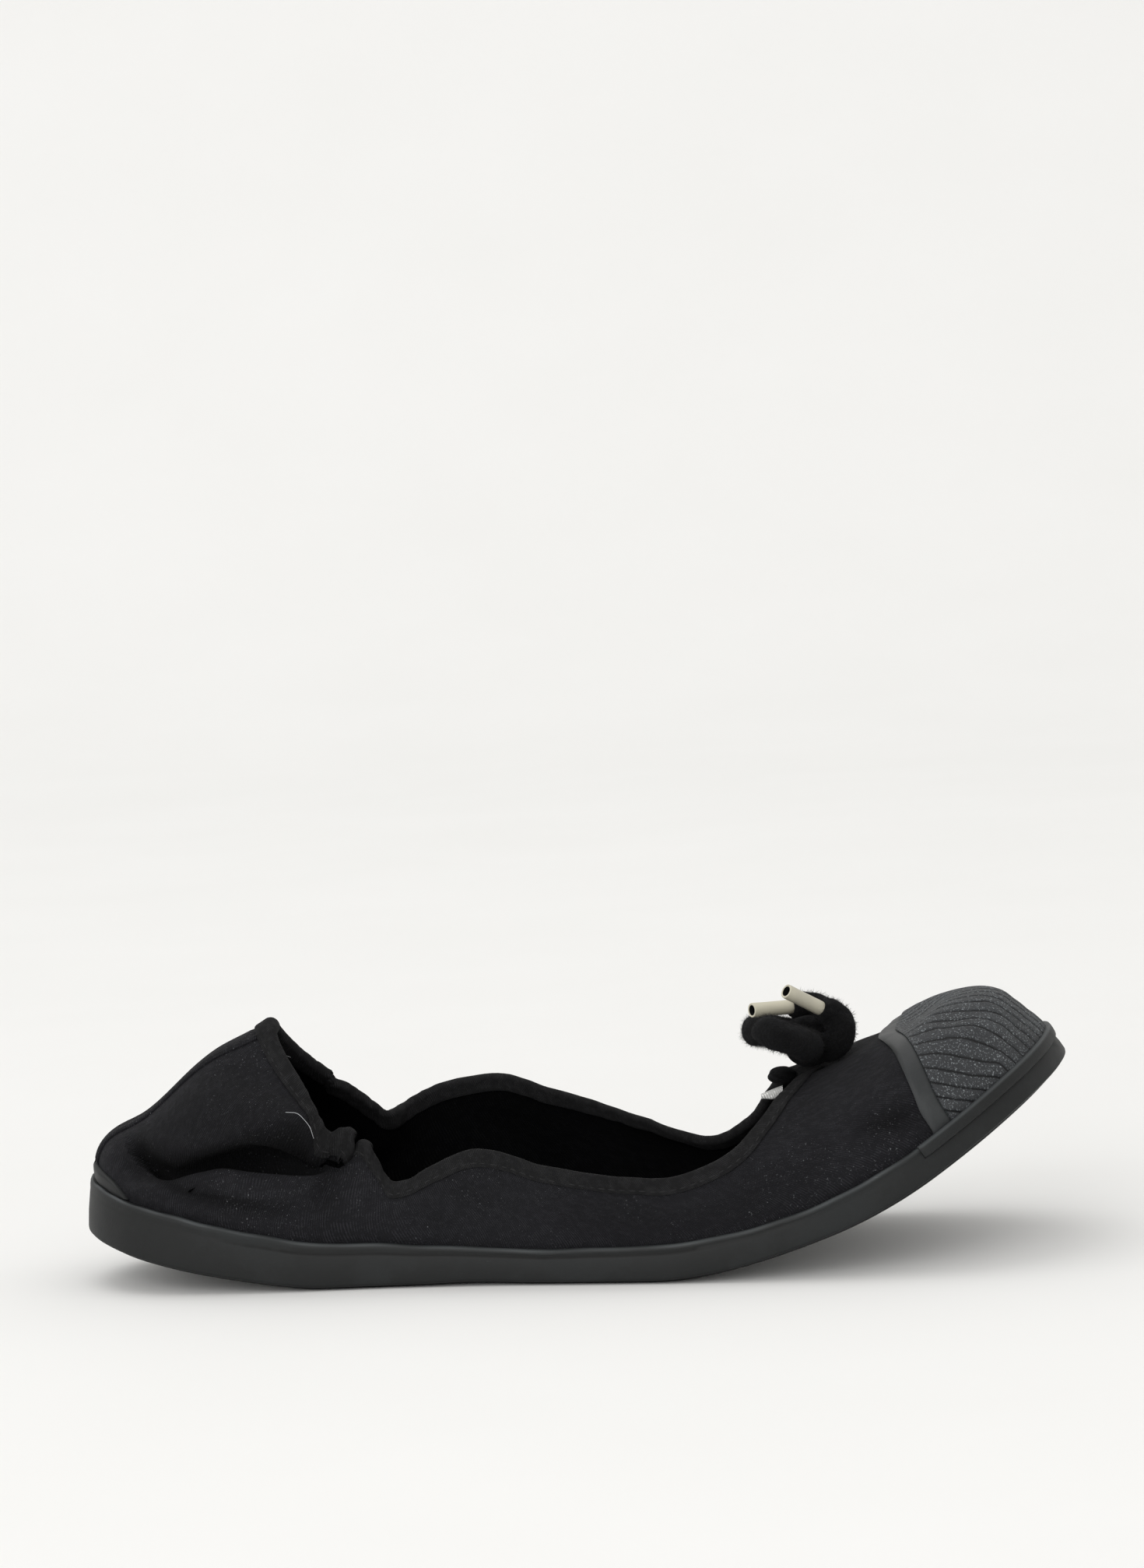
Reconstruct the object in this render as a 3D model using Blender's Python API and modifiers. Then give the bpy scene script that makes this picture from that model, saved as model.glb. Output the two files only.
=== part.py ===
"""Right ballet flat of black canvas with a vulcanised rubber sole, in its relaxed form.

The elastic collar draws the empty shoe into a shallow rocker: the sole is flat under the
heel's front and under the forefoot, and curls up at the toe. Metres, +X to the toe, +Y to the
medial side, +Z up, with the origin on the floor under the middle of the heel's flat spot.
Sections are worked out in the sole's own frame, (along, across, up): along the curled sole
from the heel's back, across it, and up from its underside at right angles to it.
"""

from bisect import bisect_right
from math import acos, cos, pi, radians, sin, tau

import bmesh
import bpy
from mathutils import Matrix, Vector

# Driving sizes, in metres
SOLE_LENGTH = 0.248       # heel to toe, measured along the curled sole
BALL_WIDTH = 0.086        # across the foxing at the ball
TIP_SHIFT = 0.005         # how far the toe's tip lies to the medial side
PEAK_HEIGHT = 0.0595      # the collar's peak, above the sole's underside
FOXING_HEIGHT = 0.0130    # the foxing's height at the heel's back
SOLE_THICK = 0.0040
SOLE_BEVEL = 0.0008
FOXING_THICK = 0.0020
FOXING_LIFT = 0.0008      # the foxing's lower edge, above the sole's underside
FOXING_STEP = 0.00035     # how far the foxing's upper part stands back
WALL = 0.0016             # canvas and lining together
TAPE_THICK = 0.0008       # the collar binding
TAPE_DEPTH = 0.0030
INSOLE_THICK = 0.0020
CAP_THICK = 0.0012
BAND_THICK = 0.0016
BAND_WIDTH = 0.0045
BUMPER_THICK = 0.0011
BUMPER_DEPTH = 0.0032
TAB_THICK = 0.0010
TAB_RISE = 0.0038         # the heel tab's top, above the foxing
TAB_HEIGHT = FOXING_HEIGHT + TAB_RISE
FLARE = 0.0027            # how far the heel's back flares out above its foot
FLARE_HEIGHT = FOXING_HEIGHT
STRIP_THICK = 0.0008
STRIP_WIDTH = 0.0110
CORD_DIAMETER = 0.0054
KNOT_LONG = 0.0046        # the knot's half sizes: forward, sideways and up
KNOT_WIDE = 0.0085
KNOT_TALL = 0.0043
KNOT_AHEAD = 0.0000       # the knot's middle, ahead of the throat's edge
KNOT_RISE = 0.0068
END_LONG = 0.0034         # the half sizes of the drawcord's knotted end, inside the throat
END_WIDE = 0.0034
END_TALL = 0.0022
END_BEHIND = 0.0006       # behind the binding, which leans there
END_DROP = 0.0008
LABEL_LONG = 0.0053       # the small tab under it
LABEL_WIDE = 0.0040
LABEL_THICK = 0.0026
AGLET_DIAMETER = 0.0035
AGLET_LENGTH = 0.0108
AGLET_WALL = 0.0005
AGLET_RECESS = 0.0015
GAP = 0.0003              # between pieces that meet
CAP_GAP = 0.0005          # between the toe's overlays and the upper
TAPE_GAP = 0.0005         # between the binding and the creased wall

# How closely the forms are divided
STATIONS = 36             # ribs on each side of the upper
WALL_STEPS = 11           # steps up each rib above the foxing
CURVE_STEP = 0.0005       # step of the sole's curve when it is added up
CORD_STEP = 0.0022

# Shares of the sole's length that bound its flat spots, and the arch between them
HEEL_FLAT = (0.246, 0.322)
BALL_FLAT = (0.450, 0.552)
ARCH_SLOPE = 2.2          # degrees, up and down again between the flat spots
HEEL_MOUNT = sum(HEEL_FLAT) / 2

# The sole's slope in degrees, at shares of the length
HEEL_SLOPES = (
    # along, slope
    (0.000, -17.5),
    (0.040, -16.0),
    (0.080, -14.0),
    (0.120, -12.0),
    (0.160, -10.0),
    (0.200, -8.5),
    (0.225, -5.5),
    (HEEL_FLAT[0], 0.0),
)
TOE_SLOPES = (
    # along, slope
    (BALL_FLAT[1], 0.0),
    (0.600, 9.0),
    (0.657, 15.5),
    (0.722, 19.5),
    (0.786, 26.0),
    (0.843, 31.5),
    (0.915, 33.0),
    (1.000, 30.0),
)

# The foxing's outline: half widths from the centre line, as shares of the ball width
OUTLINE = (
    # along, lateral, medial
    (0.000, 0.000, 0.000),
    (0.025, 0.203, 0.203),
    (0.060, 0.285, 0.285),
    (0.120, 0.333, 0.333),
    (0.200, 0.351, 0.349),
    (0.300, 0.358, 0.343),
    (0.400, 0.386, 0.333),
    (0.500, 0.435, 0.351),
    (0.600, 0.479, 0.402),
    (0.680, 0.502, 0.449),
    (0.750, 0.510, 0.472),
    (0.820, 0.494, 0.466),
    (0.890, 0.437, 0.419),
    (0.945, 0.343, 0.329),
    (0.980, 0.221, 0.209),
    (1.000, 0.000, 0.000),
)
FLARE_RING = 0.32         # share of the way round where the heel's flare ends
TIP_START = 0.60          # share of the length where the centre line starts to swing

# The foxing's top edge, as shares of its height at the heel
FOXING_TOP = (
    # along, height
    (0.00, 1.00),
    (0.08, 1.00),
    (0.20, 0.89),
    (0.28, 0.84),
    (0.37, 0.71),
    (0.46, 0.64),
    (0.58, 0.70),
    (0.68, 0.64),
    (1.00, 0.65),
)

# The collar's edge with its binding, a row for each crease or bend: ring is the share of the way round from the
# heel's back to the toe's tip, along is a share of the sole's length, across of the ball width
# and up of the peak's height.
COLLAR_LATERAL = (
    # ring, along, across, up
    (0.000, 0.149, 0.000, 0.993),
    (0.030, 0.151, 0.040, 0.985),
    (0.100, 0.171, 0.116, 0.898),
    (0.155, 0.195, 0.174, 0.807),
    (0.205, 0.213, 0.209, 0.738),
    (0.250, 0.233, 0.244, 0.655),
    (0.280, 0.256, 0.256, 0.622),
    (0.315, 0.283, 0.279, 0.618),
    (0.345, 0.297, 0.302, 0.535),
    (0.375, 0.314, 0.326, 0.428),
    (0.393, 0.329, 0.331, 0.436),
    (0.417, 0.360, 0.343, 0.492),
    (0.445, 0.392, 0.355, 0.542),
    (0.500, 0.460, 0.390, 0.476),
    (0.550, 0.533, 0.430, 0.429),
    (0.588, 0.590, 0.436, 0.415),
    (0.632, 0.658, 0.419, 0.441),
    (0.710, 0.705, 0.337, 0.510),
    (0.775, 0.735, 0.256, 0.562),
    (0.860, 0.757, 0.150, 0.571),
    (1.000, 0.775, 0.000, 0.541),
)
COLLAR_MEDIAL = (
    # ring, along, across, up
    (0.000, 0.149, 0.000, 0.993),
    (0.030, 0.151, 0.040, 0.985),
    (0.120, 0.183, 0.105, 0.874),
    (0.175, 0.204, 0.140, 0.818),
    (0.225, 0.231, 0.163, 0.773),
    (0.265, 0.258, 0.186, 0.721),
    (0.300, 0.280, 0.222, 0.640),
    (0.330, 0.296, 0.260, 0.580),
    (0.355, 0.308, 0.320, 0.595),
    (0.390, 0.332, 0.349, 0.637),
    (0.450, 0.397, 0.366, 0.682),
    (0.490, 0.440, 0.368, 0.634),
    (0.530, 0.490, 0.386, 0.562),
    (0.565, 0.528, 0.401, 0.496),
    (0.600, 0.584, 0.407, 0.416),
    (0.640, 0.636, 0.398, 0.352),
    (0.705, 0.682, 0.337, 0.401),
    (0.760, 0.710, 0.256, 0.489),
    (0.850, 0.745, 0.140, 0.565),
    (1.000, 0.775, 0.000, 0.541),
)

# The two handles of each rib between the foxing and the collar. Lift and drop are shares of
# the rib's rise, and bulge, forward and outward are shares of the ball width.
RIBS = (
    # ring, lift, bulge, forward, outward, drop
    (0.000, 0.270, 0.048, -0.250, 0.000, 0.500),
    (0.100, 0.300, 0.050, -0.210, 0.080, 0.380),
    (0.190, 0.300, 0.035, -0.120, 0.140, 0.300),
    (0.270, 0.330, 0.025, -0.040, 0.090, 0.300),
    (0.350, 0.350, 0.018, 0.000, 0.035, 0.350),
    (0.560, 0.350, 0.018, 0.010, 0.020, 0.350),
    (0.660, 0.450, 0.022, 0.060, 0.060, 0.320),
    (0.760, 0.740, 0.028, 0.150, 0.110, 0.220),
    (0.880, 0.950, 0.032, 0.290, 0.070, 0.140),
    (1.000, 1.000, 0.033, 0.348, 0.000, 0.110),
)

# Folds that the elastic pushes into the heel's sides: troughs where depth is above 0 and rolls
# where it is below. Ring and rise are centres and reaches on the wall, slant is how much the
# rise grows with the ring, and depth is a share of the ball width.
FOLDS = (
    # side, ring, ring reach, rise, slant, rise reach, depth
    (-1, 0.195, 0.140, 0.410, 2.0, 0.210, 0.078),
    (-1, 0.170, 0.140, 0.760, 1.0, 0.230, -0.036),
    (-1, 0.330, 0.045, 0.640, 0.0, 0.360, 0.020),
    (-1, 0.410, 0.050, 0.700, 0.0, 0.420, -0.015),
    (-1, 1.000, 0.300, 0.610, 0.0, 0.160, 0.022),
    (1, 0.185, 0.140, 0.330, 0.0, 0.200, 0.055),
    (1, 0.170, 0.130, 0.630, 0.0, 0.260, -0.035),
    (1, 0.350, 0.050, 0.700, 0.0, 0.340, 0.020),
    (1, 1.000, 0.300, 0.610, 0.0, 0.160, 0.022),
)
WALL_FOOT = 0.12          # share of the rise that the foxing covers

# Where overlays end, as shares of the sole's length or of the way round
CAP_EDGE = 0.881          # the ribbed cap's rear edge, with the plain band behind it
BUMPER_ALONG = 0.845
TAB_RING = 0.125

# The small tab inside the throat, backwards from its front, as shares of its own sizes
LABEL_SECTIONS = (
    # back, width, thickness
    (0.00, 1.00, 1.00),
    (0.47, 0.95, 0.85),
    (1.00, 0.70, 0.38),
)

# The bow, from the knot's middle: forward, medial and up, in cord diameters
LOOP_NEAR = (
    # forward, medial, up
    (-0.15, -0.70, 0.00),
    (-0.10, -1.75, 0.20),
    (-0.40, -2.75, 0.65),
    (-1.10, -3.40, 1.15),
    (-1.75, -2.90, 1.40),
    (-1.80, -1.90, 1.25),
    (-1.40, -1.10, 0.85),
    (-0.60, -0.65, 0.35),
)
LOOP_FAR = (
    # forward, medial, up
    (-0.15, 0.70, 0.00),
    (-0.10, 1.75, 0.00),
    (-0.55, 2.85, 0.05),
    (-1.55, 3.40, 0.15),
    (-2.30, 2.75, 0.30),
    (-2.30, 1.75, 0.50),
    (-1.60, 1.05, 0.55),
    (-0.65, 0.65, 0.25),
)
TAIL_NEAR = (
    # forward, medial, up
    (0.15, -0.60, 0.00),
    (0.88, -0.72, 0.02),
    (1.32, -0.76, 0.42),
    (1.38, -0.66, 1.02),
    (1.04, -0.46, 1.63),
    (0.48, -0.80, 1.88),
)
TAIL_FAR = (
    # forward, medial, up
    (0.15, 0.62, -0.10),
    (0.85, 0.70, 0.05),
    (1.10, 0.80, 0.65),
    (0.70, 0.98, 1.25),
    (-0.10, 1.16, 1.56),
    (-0.80, 0.78, 1.62),
)


def clear_scene():
    for obj in list(bpy.data.objects):
        bpy.data.objects.remove(obj)


def material(name, colour, roughness):
    made = bpy.data.materials.new(name)
    made.use_nodes = True
    shader = made.node_tree.nodes["Principled BSDF"]
    shader.inputs["Base Color"].default_value = (*colour, 1.0)
    shader.inputs["Roughness"].default_value = roughness
    shader.inputs["Metallic"].default_value = 0.0
    return made


def read(rows, column, at):
    """Reads a table's column at a value of its first column, on a smooth curve with no overshoot."""
    keys = [row[0] for row in rows]
    values = [row[column] for row in rows]
    last = len(rows) - 1
    k = min(max(bisect_right(keys, at) - 1, 0), last - 1)
    steps = [
        (values[i + 1] - values[i]) / (keys[i + 1] - keys[i])
        for i in range(max(k - 1, 0), min(k + 2, last))
    ]
    here = steps[1] if k > 0 else steps[0]
    before = steps[0]
    after = steps[-1]

    def slope(a, b):
        return 2 * a * b / (a + b) if a * b > 0 else 0.0

    start = slope(before, here) if k > 0 else here
    end = slope(here, after) if k < last - 1 else here
    width = keys[k + 1] - keys[k]
    t = min(max((at - keys[k]) / width, 0.0), 1.0)
    return (
        (2 * t**3 - 3 * t**2 + 1) * values[k]
        + (t**3 - 2 * t**2 + t) * width * start
        + (3 * t**2 - 2 * t**3) * values[k + 1]
        + (t**3 - t**2) * width * end
    )


def sole_slope(share):
    """The slope of the sole's underside, in radians, at a share of its length."""
    if share < HEEL_FLAT[0]:
        return radians(read(HEEL_SLOPES, 1, share))
    if share > BALL_FLAT[1]:
        return radians(read(TOE_SLOPES, 1, share))
    if HEEL_FLAT[1] < share < BALL_FLAT[0]:
        turn = (share - HEEL_FLAT[1]) / (BALL_FLAT[0] - HEEL_FLAT[1])
        return radians(ARCH_SLOPE) * sin(tau * turn)
    return 0.0


def add_up_sole():
    """The underside's middle line as (x, z, slope) at even steps, level at the heel's flat spot."""
    steps = round(SOLE_LENGTH / CURVE_STEP)
    points = [(0.0, 0.0, sole_slope(0.0))]
    for i in range(1, steps + 1):
        middle = sole_slope((i - 0.5) / steps)
        x = points[-1][0] + cos(middle) * SOLE_LENGTH / steps
        z = points[-1][1] + sin(middle) * SOLE_LENGTH / steps
        points.append((x, z, sole_slope(i / steps)))
    x_zero, z_zero, _ = points[round(HEEL_MOUNT * steps)]
    return [(x - x_zero, z - z_zero, slope) for x, z, slope in points]


SOLE_LINE = add_up_sole()


def place(along, across, up):
    """A point of the sole's own frame, in metres, as a point of the shoe."""
    steps = len(SOLE_LINE) - 1
    at = along / SOLE_LENGTH * steps
    k = min(max(int(at), 0), steps - 1)
    (xa, za, slope_a), (xb, zb, slope_b) = SOLE_LINE[k], SOLE_LINE[k + 1]
    t = at - k
    held = min(max(t, 0.0), 1.0)
    slope = slope_a + (slope_b - slope_a) * held
    x = xa + (xb - xa) * t
    z = za + (zb - za) * t
    return Vector((x - up * sin(slope), across, z + up * cos(slope)))


def along_of(ring):
    """Share of the length at a share of the way round, which gathers ribs at both ends."""
    return (1 - cos(pi * ring)) / 2


def ring_of(along):
    return acos(1 - 2 * along) / pi


def outline(turn):
    """The foxing's outline at a turn: 0 is the heel's back, 0.5 the toe, and 1 the back again."""
    turn = turn % 1.0
    side = -1 if turn <= 0.5 else 1
    share = along_of(2 * min(turn, 1 - turn))
    column = 1 if side < 0 else 2
    rows = OUTLINE_RINGS[column]
    half = read(rows, 1, ring_of(share)) * BALL_WIDTH
    swing = max(0.0, (share - TIP_START) / (1 - TIP_START))
    return Vector((share * SOLE_LENGTH, side * half + TIP_SHIFT * swing**2))


OUTLINE_RINGS = {
    column: [(ring_of(row[0]), row[column]) for row in OUTLINE] for column in (1, 2)
}


def outward(turn):
    """Unit vector out of the outline, as (along, across)."""
    step = 0.002
    run = outline(turn + step) - outline(turn - step)
    return Vector((-run.y, run.x)).normalized() * -1


def edge(turn, inset, up):
    """A point at a distance inside the outline and above the underside, in the sole's frame."""
    ring = 2 * min(turn % 1.0, 1 - turn % 1.0)
    flare = FLARE * bell(ring / FLARE_RING) * min(up / FLARE_HEIGHT, 1.0)
    flat = outline(turn) + outward(turn) * (flare - inset)
    return Vector((flat.x, flat.y, up))


def foxing_top(turn):
    share = along_of(2 * min(turn % 1.0, 1 - turn % 1.0))
    return read(FOXING_TOP, 1, share) * FOXING_HEIGHT


def collar(turn):
    """The wall's top edge in the sole's frame, under its binding."""
    turn = turn % 1.0
    ring = 2 * min(turn, 1 - turn)
    side, rows = (-1, COLLAR_LATERAL) if turn <= 0.5 else (1, COLLAR_MEDIAL)
    return Vector(
        (
            read(rows, 1, ring) * SOLE_LENGTH,
            side * read(rows, 2, ring) * BALL_WIDTH,
            read(rows, 3, ring) * PEAK_HEIGHT - TAPE_GAP - TAPE_THICK,
        )
    )


def bell(t):
    return (1 - t * t) ** 2 if abs(t) < 1 else 0.0


def fold_depth(turn, rise):
    """How far the folds push the wall inwards at a place on it."""
    turn = turn % 1.0
    side = -1 if turn <= 0.5 else 1
    ring = 2 * min(turn, 1 - turn)
    depth = 0.0
    for fold_side, centre, reach, height, slant, height_reach, share in FOLDS:
        if fold_side == side:
            across = bell((ring - centre) / reach)
            above = rise - height - slant * (ring - centre)
            depth += share * BALL_WIDTH * across * bell(above / height_reach)
    return depth


def wall_line(turn, rise):
    """The upper's outer face in the sole's frame: rise is 0 at its foot and 1 at the collar."""
    inset = FOXING_THICK + GAP
    foot = edge(turn, inset, SOLE_THICK + GAP)
    top = edge(turn, inset, foxing_top(turn) + GAP)
    if rise <= WALL_FOOT:
        return foot.lerp(top, rise / WALL_FOOT)
    ring = 2 * min(turn % 1.0, 1 - turn % 1.0)
    lift, bulge, forward, out, drop = (read(RIBS, c, ring) for c in range(1, 6))
    end = collar(turn)
    height = end.z - top.z
    flat = outward(turn)
    away = Vector((flat.x, flat.y, 0))
    first = top + away * bulge * BALL_WIDTH + Vector((0, 0, lift * height))
    second = end + away * out * BALL_WIDTH
    second += Vector((forward * BALL_WIDTH, 0, -drop * height))
    t = (rise - WALL_FOOT) / (1 - WALL_FOOT)
    u = 1 - t
    point = top * u**3 + first * 3 * u * u * t + second * 3 * u * t * t + end * t**3
    climb = (first - top) * u * u + (second - first) * 2 * u * t + (end - second) * t * t
    face = Vector((-flat.y, flat.x, 0)).cross(climb).normalized()
    return point - face * fold_depth(turn, t)


def wall(turn, rise):
    return place(*wall_line(turn, rise))


def wall_frame(turn, rise):
    """The outward normal and the upward direction of the wall's outer face."""
    step = 0.003
    low, high = max(rise - step, 0.0), min(rise + step, 1.0)
    up = (wall(turn, high) - wall(turn, low)).normalized()
    run = wall(turn + step, rise) - wall(turn - step, rise)
    return run.cross(up).normalized(), up


def wall_rises():
    """The rises at which the upper has its rows of points."""
    steps = [WALL_FOOT + (1 - WALL_FOOT) * k / WALL_STEPS for k in range(WALL_STEPS + 1)]
    return [0.0] + steps


def station(k):
    """The turn of a rib, counted from the heel's back."""
    return k / STATIONS / 2


def add_up_skin():
    """The place, outward normal and upward direction at each corner of the upper's facets."""
    rows = []
    for k in range(2 * STATIONS):
        turn = station(k)
        rows.append([(wall(turn, rise), *wall_frame(turn, rise)) for rise in wall_rises()])
    return rows


def on_wall(turn, rise, offset, beyond=0.0):
    """A point off the upper's flat facets, or beyond the collar's edge."""
    if not SKIN:
        SKIN.extend(add_up_skin())
    at = (turn % 1.0) * 2 * STATIONS
    k = int(at)
    rises = wall_rises()
    j = min(max(bisect_right(rises, rise) - 1, 0), len(rises) - 2)
    t = (rise - rises[j]) / (rises[j + 1] - rises[j])
    ends = []
    for rib in (SKIN[k % (2 * STATIONS)], SKIN[(k + 1) % (2 * STATIONS)]):
        pair = [point + normal * offset + up * beyond for point, normal, up in rib[j : j + 2]]
        ends.append(pair[0].lerp(pair[1], t))
    return ends[0].lerp(ends[1], at - k)


SKIN = []


def kept(marks, low, high):
    """The marks held between two ends, so that each row of a patch has as many points."""
    return [low] + [min(max(mark, low), high) for mark in marks] + [high]


def patch(name, cells, gap, thick, finish):
    """An overlay of one thickness on the upper, over rows of (turn, rise)."""
    rows = []
    for row in cells:
        inner = [on_wall(turn, rise, gap) for turn, rise in row]
        outer = [on_wall(turn, rise, gap + thick) for turn, rise in reversed(row)]
        rows.append(inner + outer)
    return loft(name, rows, finish)


def rise_below_collar(turn, depth):
    """The rise at a distance down from the collar's edge."""
    rise, gone, last = 1.0, 0.0, wall(turn, 1.0)
    while gone < depth:
        rise -= 0.01
        here = wall(turn, rise)
        gone += (here - last).length
        last = here
    return rise


def rise_where(turn, test):
    """The lowest rise above the foxing at which a test of the wall's point holds."""
    rise = WALL_FOOT
    while rise < 1.0 and not test(wall_line(turn, rise)):
        rise += 0.005
    low = rise - 0.005
    for _ in range(8):
        middle = (low + rise) / 2
        if test(wall_line(turn, middle)):
            rise = middle
        else:
            low = middle
    return rise


def loft(name, rows, finish, closed=False):
    """Joins closed sections, each a list of points, into one solid."""
    mesh = bmesh.new()
    rings = [[mesh.verts.new(point) for point in row] for row in rows]
    pairs = list(zip(rings, rings[1:]))
    if closed:
        pairs.append((rings[-1], rings[0]))
    for one, other in pairs:
        for k in range(len(one)):
            j = (k + 1) % len(one)
            mesh.faces.new((one[k], one[j], other[j], other[k]))
    if not closed:
        mesh.faces.new(rings[0])
        mesh.faces.new(rings[-1])
    bmesh.ops.remove_doubles(mesh, verts=mesh.verts, dist=1e-6)
    bmesh.ops.recalc_face_normals(mesh, faces=mesh.faces)
    data = bpy.data.meshes.new(name)
    mesh.to_mesh(data)
    mesh.free()
    return add_object(name, data, finish)


def add_object(name, data, finish, folder="ballet_flat"):
    obj = bpy.data.objects.new(name, data)
    collection = bpy.data.collections.get(folder)
    if collection is None:
        collection = bpy.data.collections.new(folder)
        bpy.context.scene.collection.children.link(collection)
    collection.objects.link(obj)
    if finish is not None:
        data.materials.append(finish)
    if isinstance(data, bpy.types.Mesh):
        data.shade_smooth()
        data.set_sharp_from_angle(angle=radians(40))
    return obj


def station_turns():
    """Even ring shares up the lateral side and back down the medial one."""
    lateral = [i / STATIONS / 2 for i in range(STATIONS)]
    return lateral + [turn + 0.5 for turn in lateral]


def slab(name, inset, low, high, bevel, finish):
    """A flat layer of the sole, between two heights, inside the outline."""
    rows = []
    for i in range(STATIONS + 1):
        turn = i / STATIONS / 2
        other = 1 - turn
        rows.append(
            [
                place(*edge(turn, inset, high)),
                place(*edge(turn, inset, low + bevel)),
                place(*edge(turn, inset + bevel, low)),
                place(*edge(other, inset + bevel, low)),
                place(*edge(other, inset, low + bevel)),
                place(*edge(other, inset, high)),
            ]
        )
    return close_ends(name, rows, finish)


def close_ends(name, rows, finish):
    """A loft whose first and last sections have no width, so that they close without a face."""
    mesh = bmesh.new()
    rings = [[mesh.verts.new(point) for point in row] for row in rows]
    for one, other in zip(rings, rings[1:]):
        for k in range(len(one)):
            j = (k + 1) % len(one)
            mesh.faces.new((one[k], one[j], other[j], other[k]))
    bmesh.ops.remove_doubles(mesh, verts=mesh.verts, dist=1e-6)
    bmesh.ops.recalc_face_normals(mesh, faces=mesh.faces)
    data = bpy.data.meshes.new(name)
    mesh.to_mesh(data)
    mesh.free()
    return add_object(name, data, finish)


def make_outsole(finish):
    return slab("outsole", FOXING_THICK + GAP, 0.0, SOLE_THICK, SOLE_BEVEL, finish)


def make_insole(finish):
    inset = FOXING_THICK + WALL + 2 * GAP
    low = SOLE_THICK + GAP
    return slab("insole", inset, low, low + INSOLE_THICK, 0.0003, finish)


def make_foxing(finish):
    """The rubber tape round the sole's edge, with its upper part set back a little."""
    rows = []
    for turn in station_turns():
        top = foxing_top(turn)
        step_at = FOXING_LIFT + (top - FOXING_LIFT) * 0.62
        section = (
            # inset, up
            (0.0004, FOXING_LIFT),
            (0.0, FOXING_LIFT + 0.0006),
            (0.0, step_at),
            (FOXING_STEP, step_at + FOXING_STEP),
            (FOXING_STEP, top - 0.0005),
            (FOXING_STEP + 0.0005, top),
            (FOXING_THICK, top),
            (FOXING_THICK, FOXING_LIFT),
        )
        rows.append([place(*edge(turn, inset, up)) for inset, up in section])
    return loft("foxing", rows, finish, closed=True)


def make_bumper(finish):
    """The second strip of rubber round the toe."""
    first = ring_of(BUMPER_ALONG) / 2
    count = 26
    rows = []
    for i in range(count + 1):
        turn = first + (1 - 2 * first) * i / count
        top = foxing_top(turn) + GAP
        low = top - BUMPER_DEPTH
        section = (
            # inset, up
            (-GAP, low),
            (-BUMPER_THICK * 0.6, low),
            (-GAP - BUMPER_THICK, low + 0.0006),
            (-GAP - BUMPER_THICK, top - 0.0006),
            (-BUMPER_THICK * 0.6, top),
            (-GAP, top),
        )
        rows.append([place(*edge(turn, inset, up)) for inset, up in section])
    return loft("toe_bumper", rows, finish)


def make_heel_tab(finish):
    """The rubber tab moulded over the heel's back, above the foxing."""
    reach = TAB_RING / 2
    edges = (station(k) for k in range(-5, 6))
    cells = []
    for turn in kept(edges, -reach, reach):
        share = turn / reach
        top = TAB_HEIGHT - (TAB_HEIGHT - FOXING_HEIGHT) * 0.7 * share * share
        low = rise_where(turn, lambda point: point.z > foxing_top(turn) + 2 * GAP)
        high = rise_where(turn, lambda point: point.z > top)
        cells.append([(turn, rise) for rise in kept(wall_rises()[2:5], low, high)])
    return patch("heel_tab", cells, GAP, TAB_THICK, finish)


def make_upper(finish):
    """The canvas shell: one wall round the foot, open at the collar and underneath."""
    rises = wall_rises()
    rows = []
    for turn in station_turns():
        outer = [on_wall(turn, rise, 0.0) for rise in rises]
        inner = [on_wall(turn, rise, -WALL) for rise in reversed(rises)]
        rows.append(outer + inner)
    return loft("upper", rows, finish, closed=True)


def make_binding(finish):
    """The tape folded over the collar's edge."""
    clear = TAPE_GAP + TAPE_THICK
    rows = []
    for turn in station_turns():
        low = rise_below_collar(turn, TAPE_DEPTH)
        rises = kept(wall_rises()[-4:-1], low, 0.999)
        down = rises[::-1]
        section = [on_wall(turn, rise, clear) for rise in rises]
        section.append(on_wall(turn, 1.0, clear, TAPE_GAP))
        section.append(on_wall(turn, 1.0, TAPE_GAP, clear))
        section.append(on_wall(turn, 1.0, -WALL - TAPE_GAP, clear))
        section.append(on_wall(turn, 1.0, -WALL - clear, TAPE_GAP))
        section += [on_wall(turn, rise, -WALL - clear) for rise in down]
        section += [on_wall(turn, rise, -WALL - TAPE_GAP) for rise in rises]
        section.append(on_wall(turn, 1.0, -WALL - TAPE_GAP, TAPE_GAP))
        section.append(on_wall(turn, 1.0, TAPE_GAP, TAPE_GAP))
        section += [on_wall(turn, rise, TAPE_GAP) for rise in down]
        rows.append(section)
    return loft("collar_binding", rows, finish, closed=True)


def turn_at(rise, reach):
    """The turn at a distance round the heel from its middle, to the medial side below 0."""
    step = 0.0005 if reach > 0 else -0.0005
    turn, middle = 0.0, on_wall(0.0, rise, 0.0)
    while (on_wall(turn, rise, 0.0) - middle).length < abs(reach):
        turn += step
    return turn


def make_back_strip(finish):
    """The strip stitched over the back seam."""
    low = rise_where(0.0, lambda point: point.z > TAB_HEIGHT + 0.0012)
    high = rise_below_collar(0.0, TAPE_DEPTH + 0.0012)
    cells = []
    for rise in kept(wall_rises()[2:], low, high):
        medial, lateral = (turn_at(rise, side * STRIP_WIDTH / 2) for side in (-1, 1))
        ribs = (station(k) for k in range(-4, 5))
        cells.append([(turn, rise) for turn in kept(ribs, medial, lateral)])
    return patch("back_strip", cells, GAP, STRIP_THICK, finish)


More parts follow.
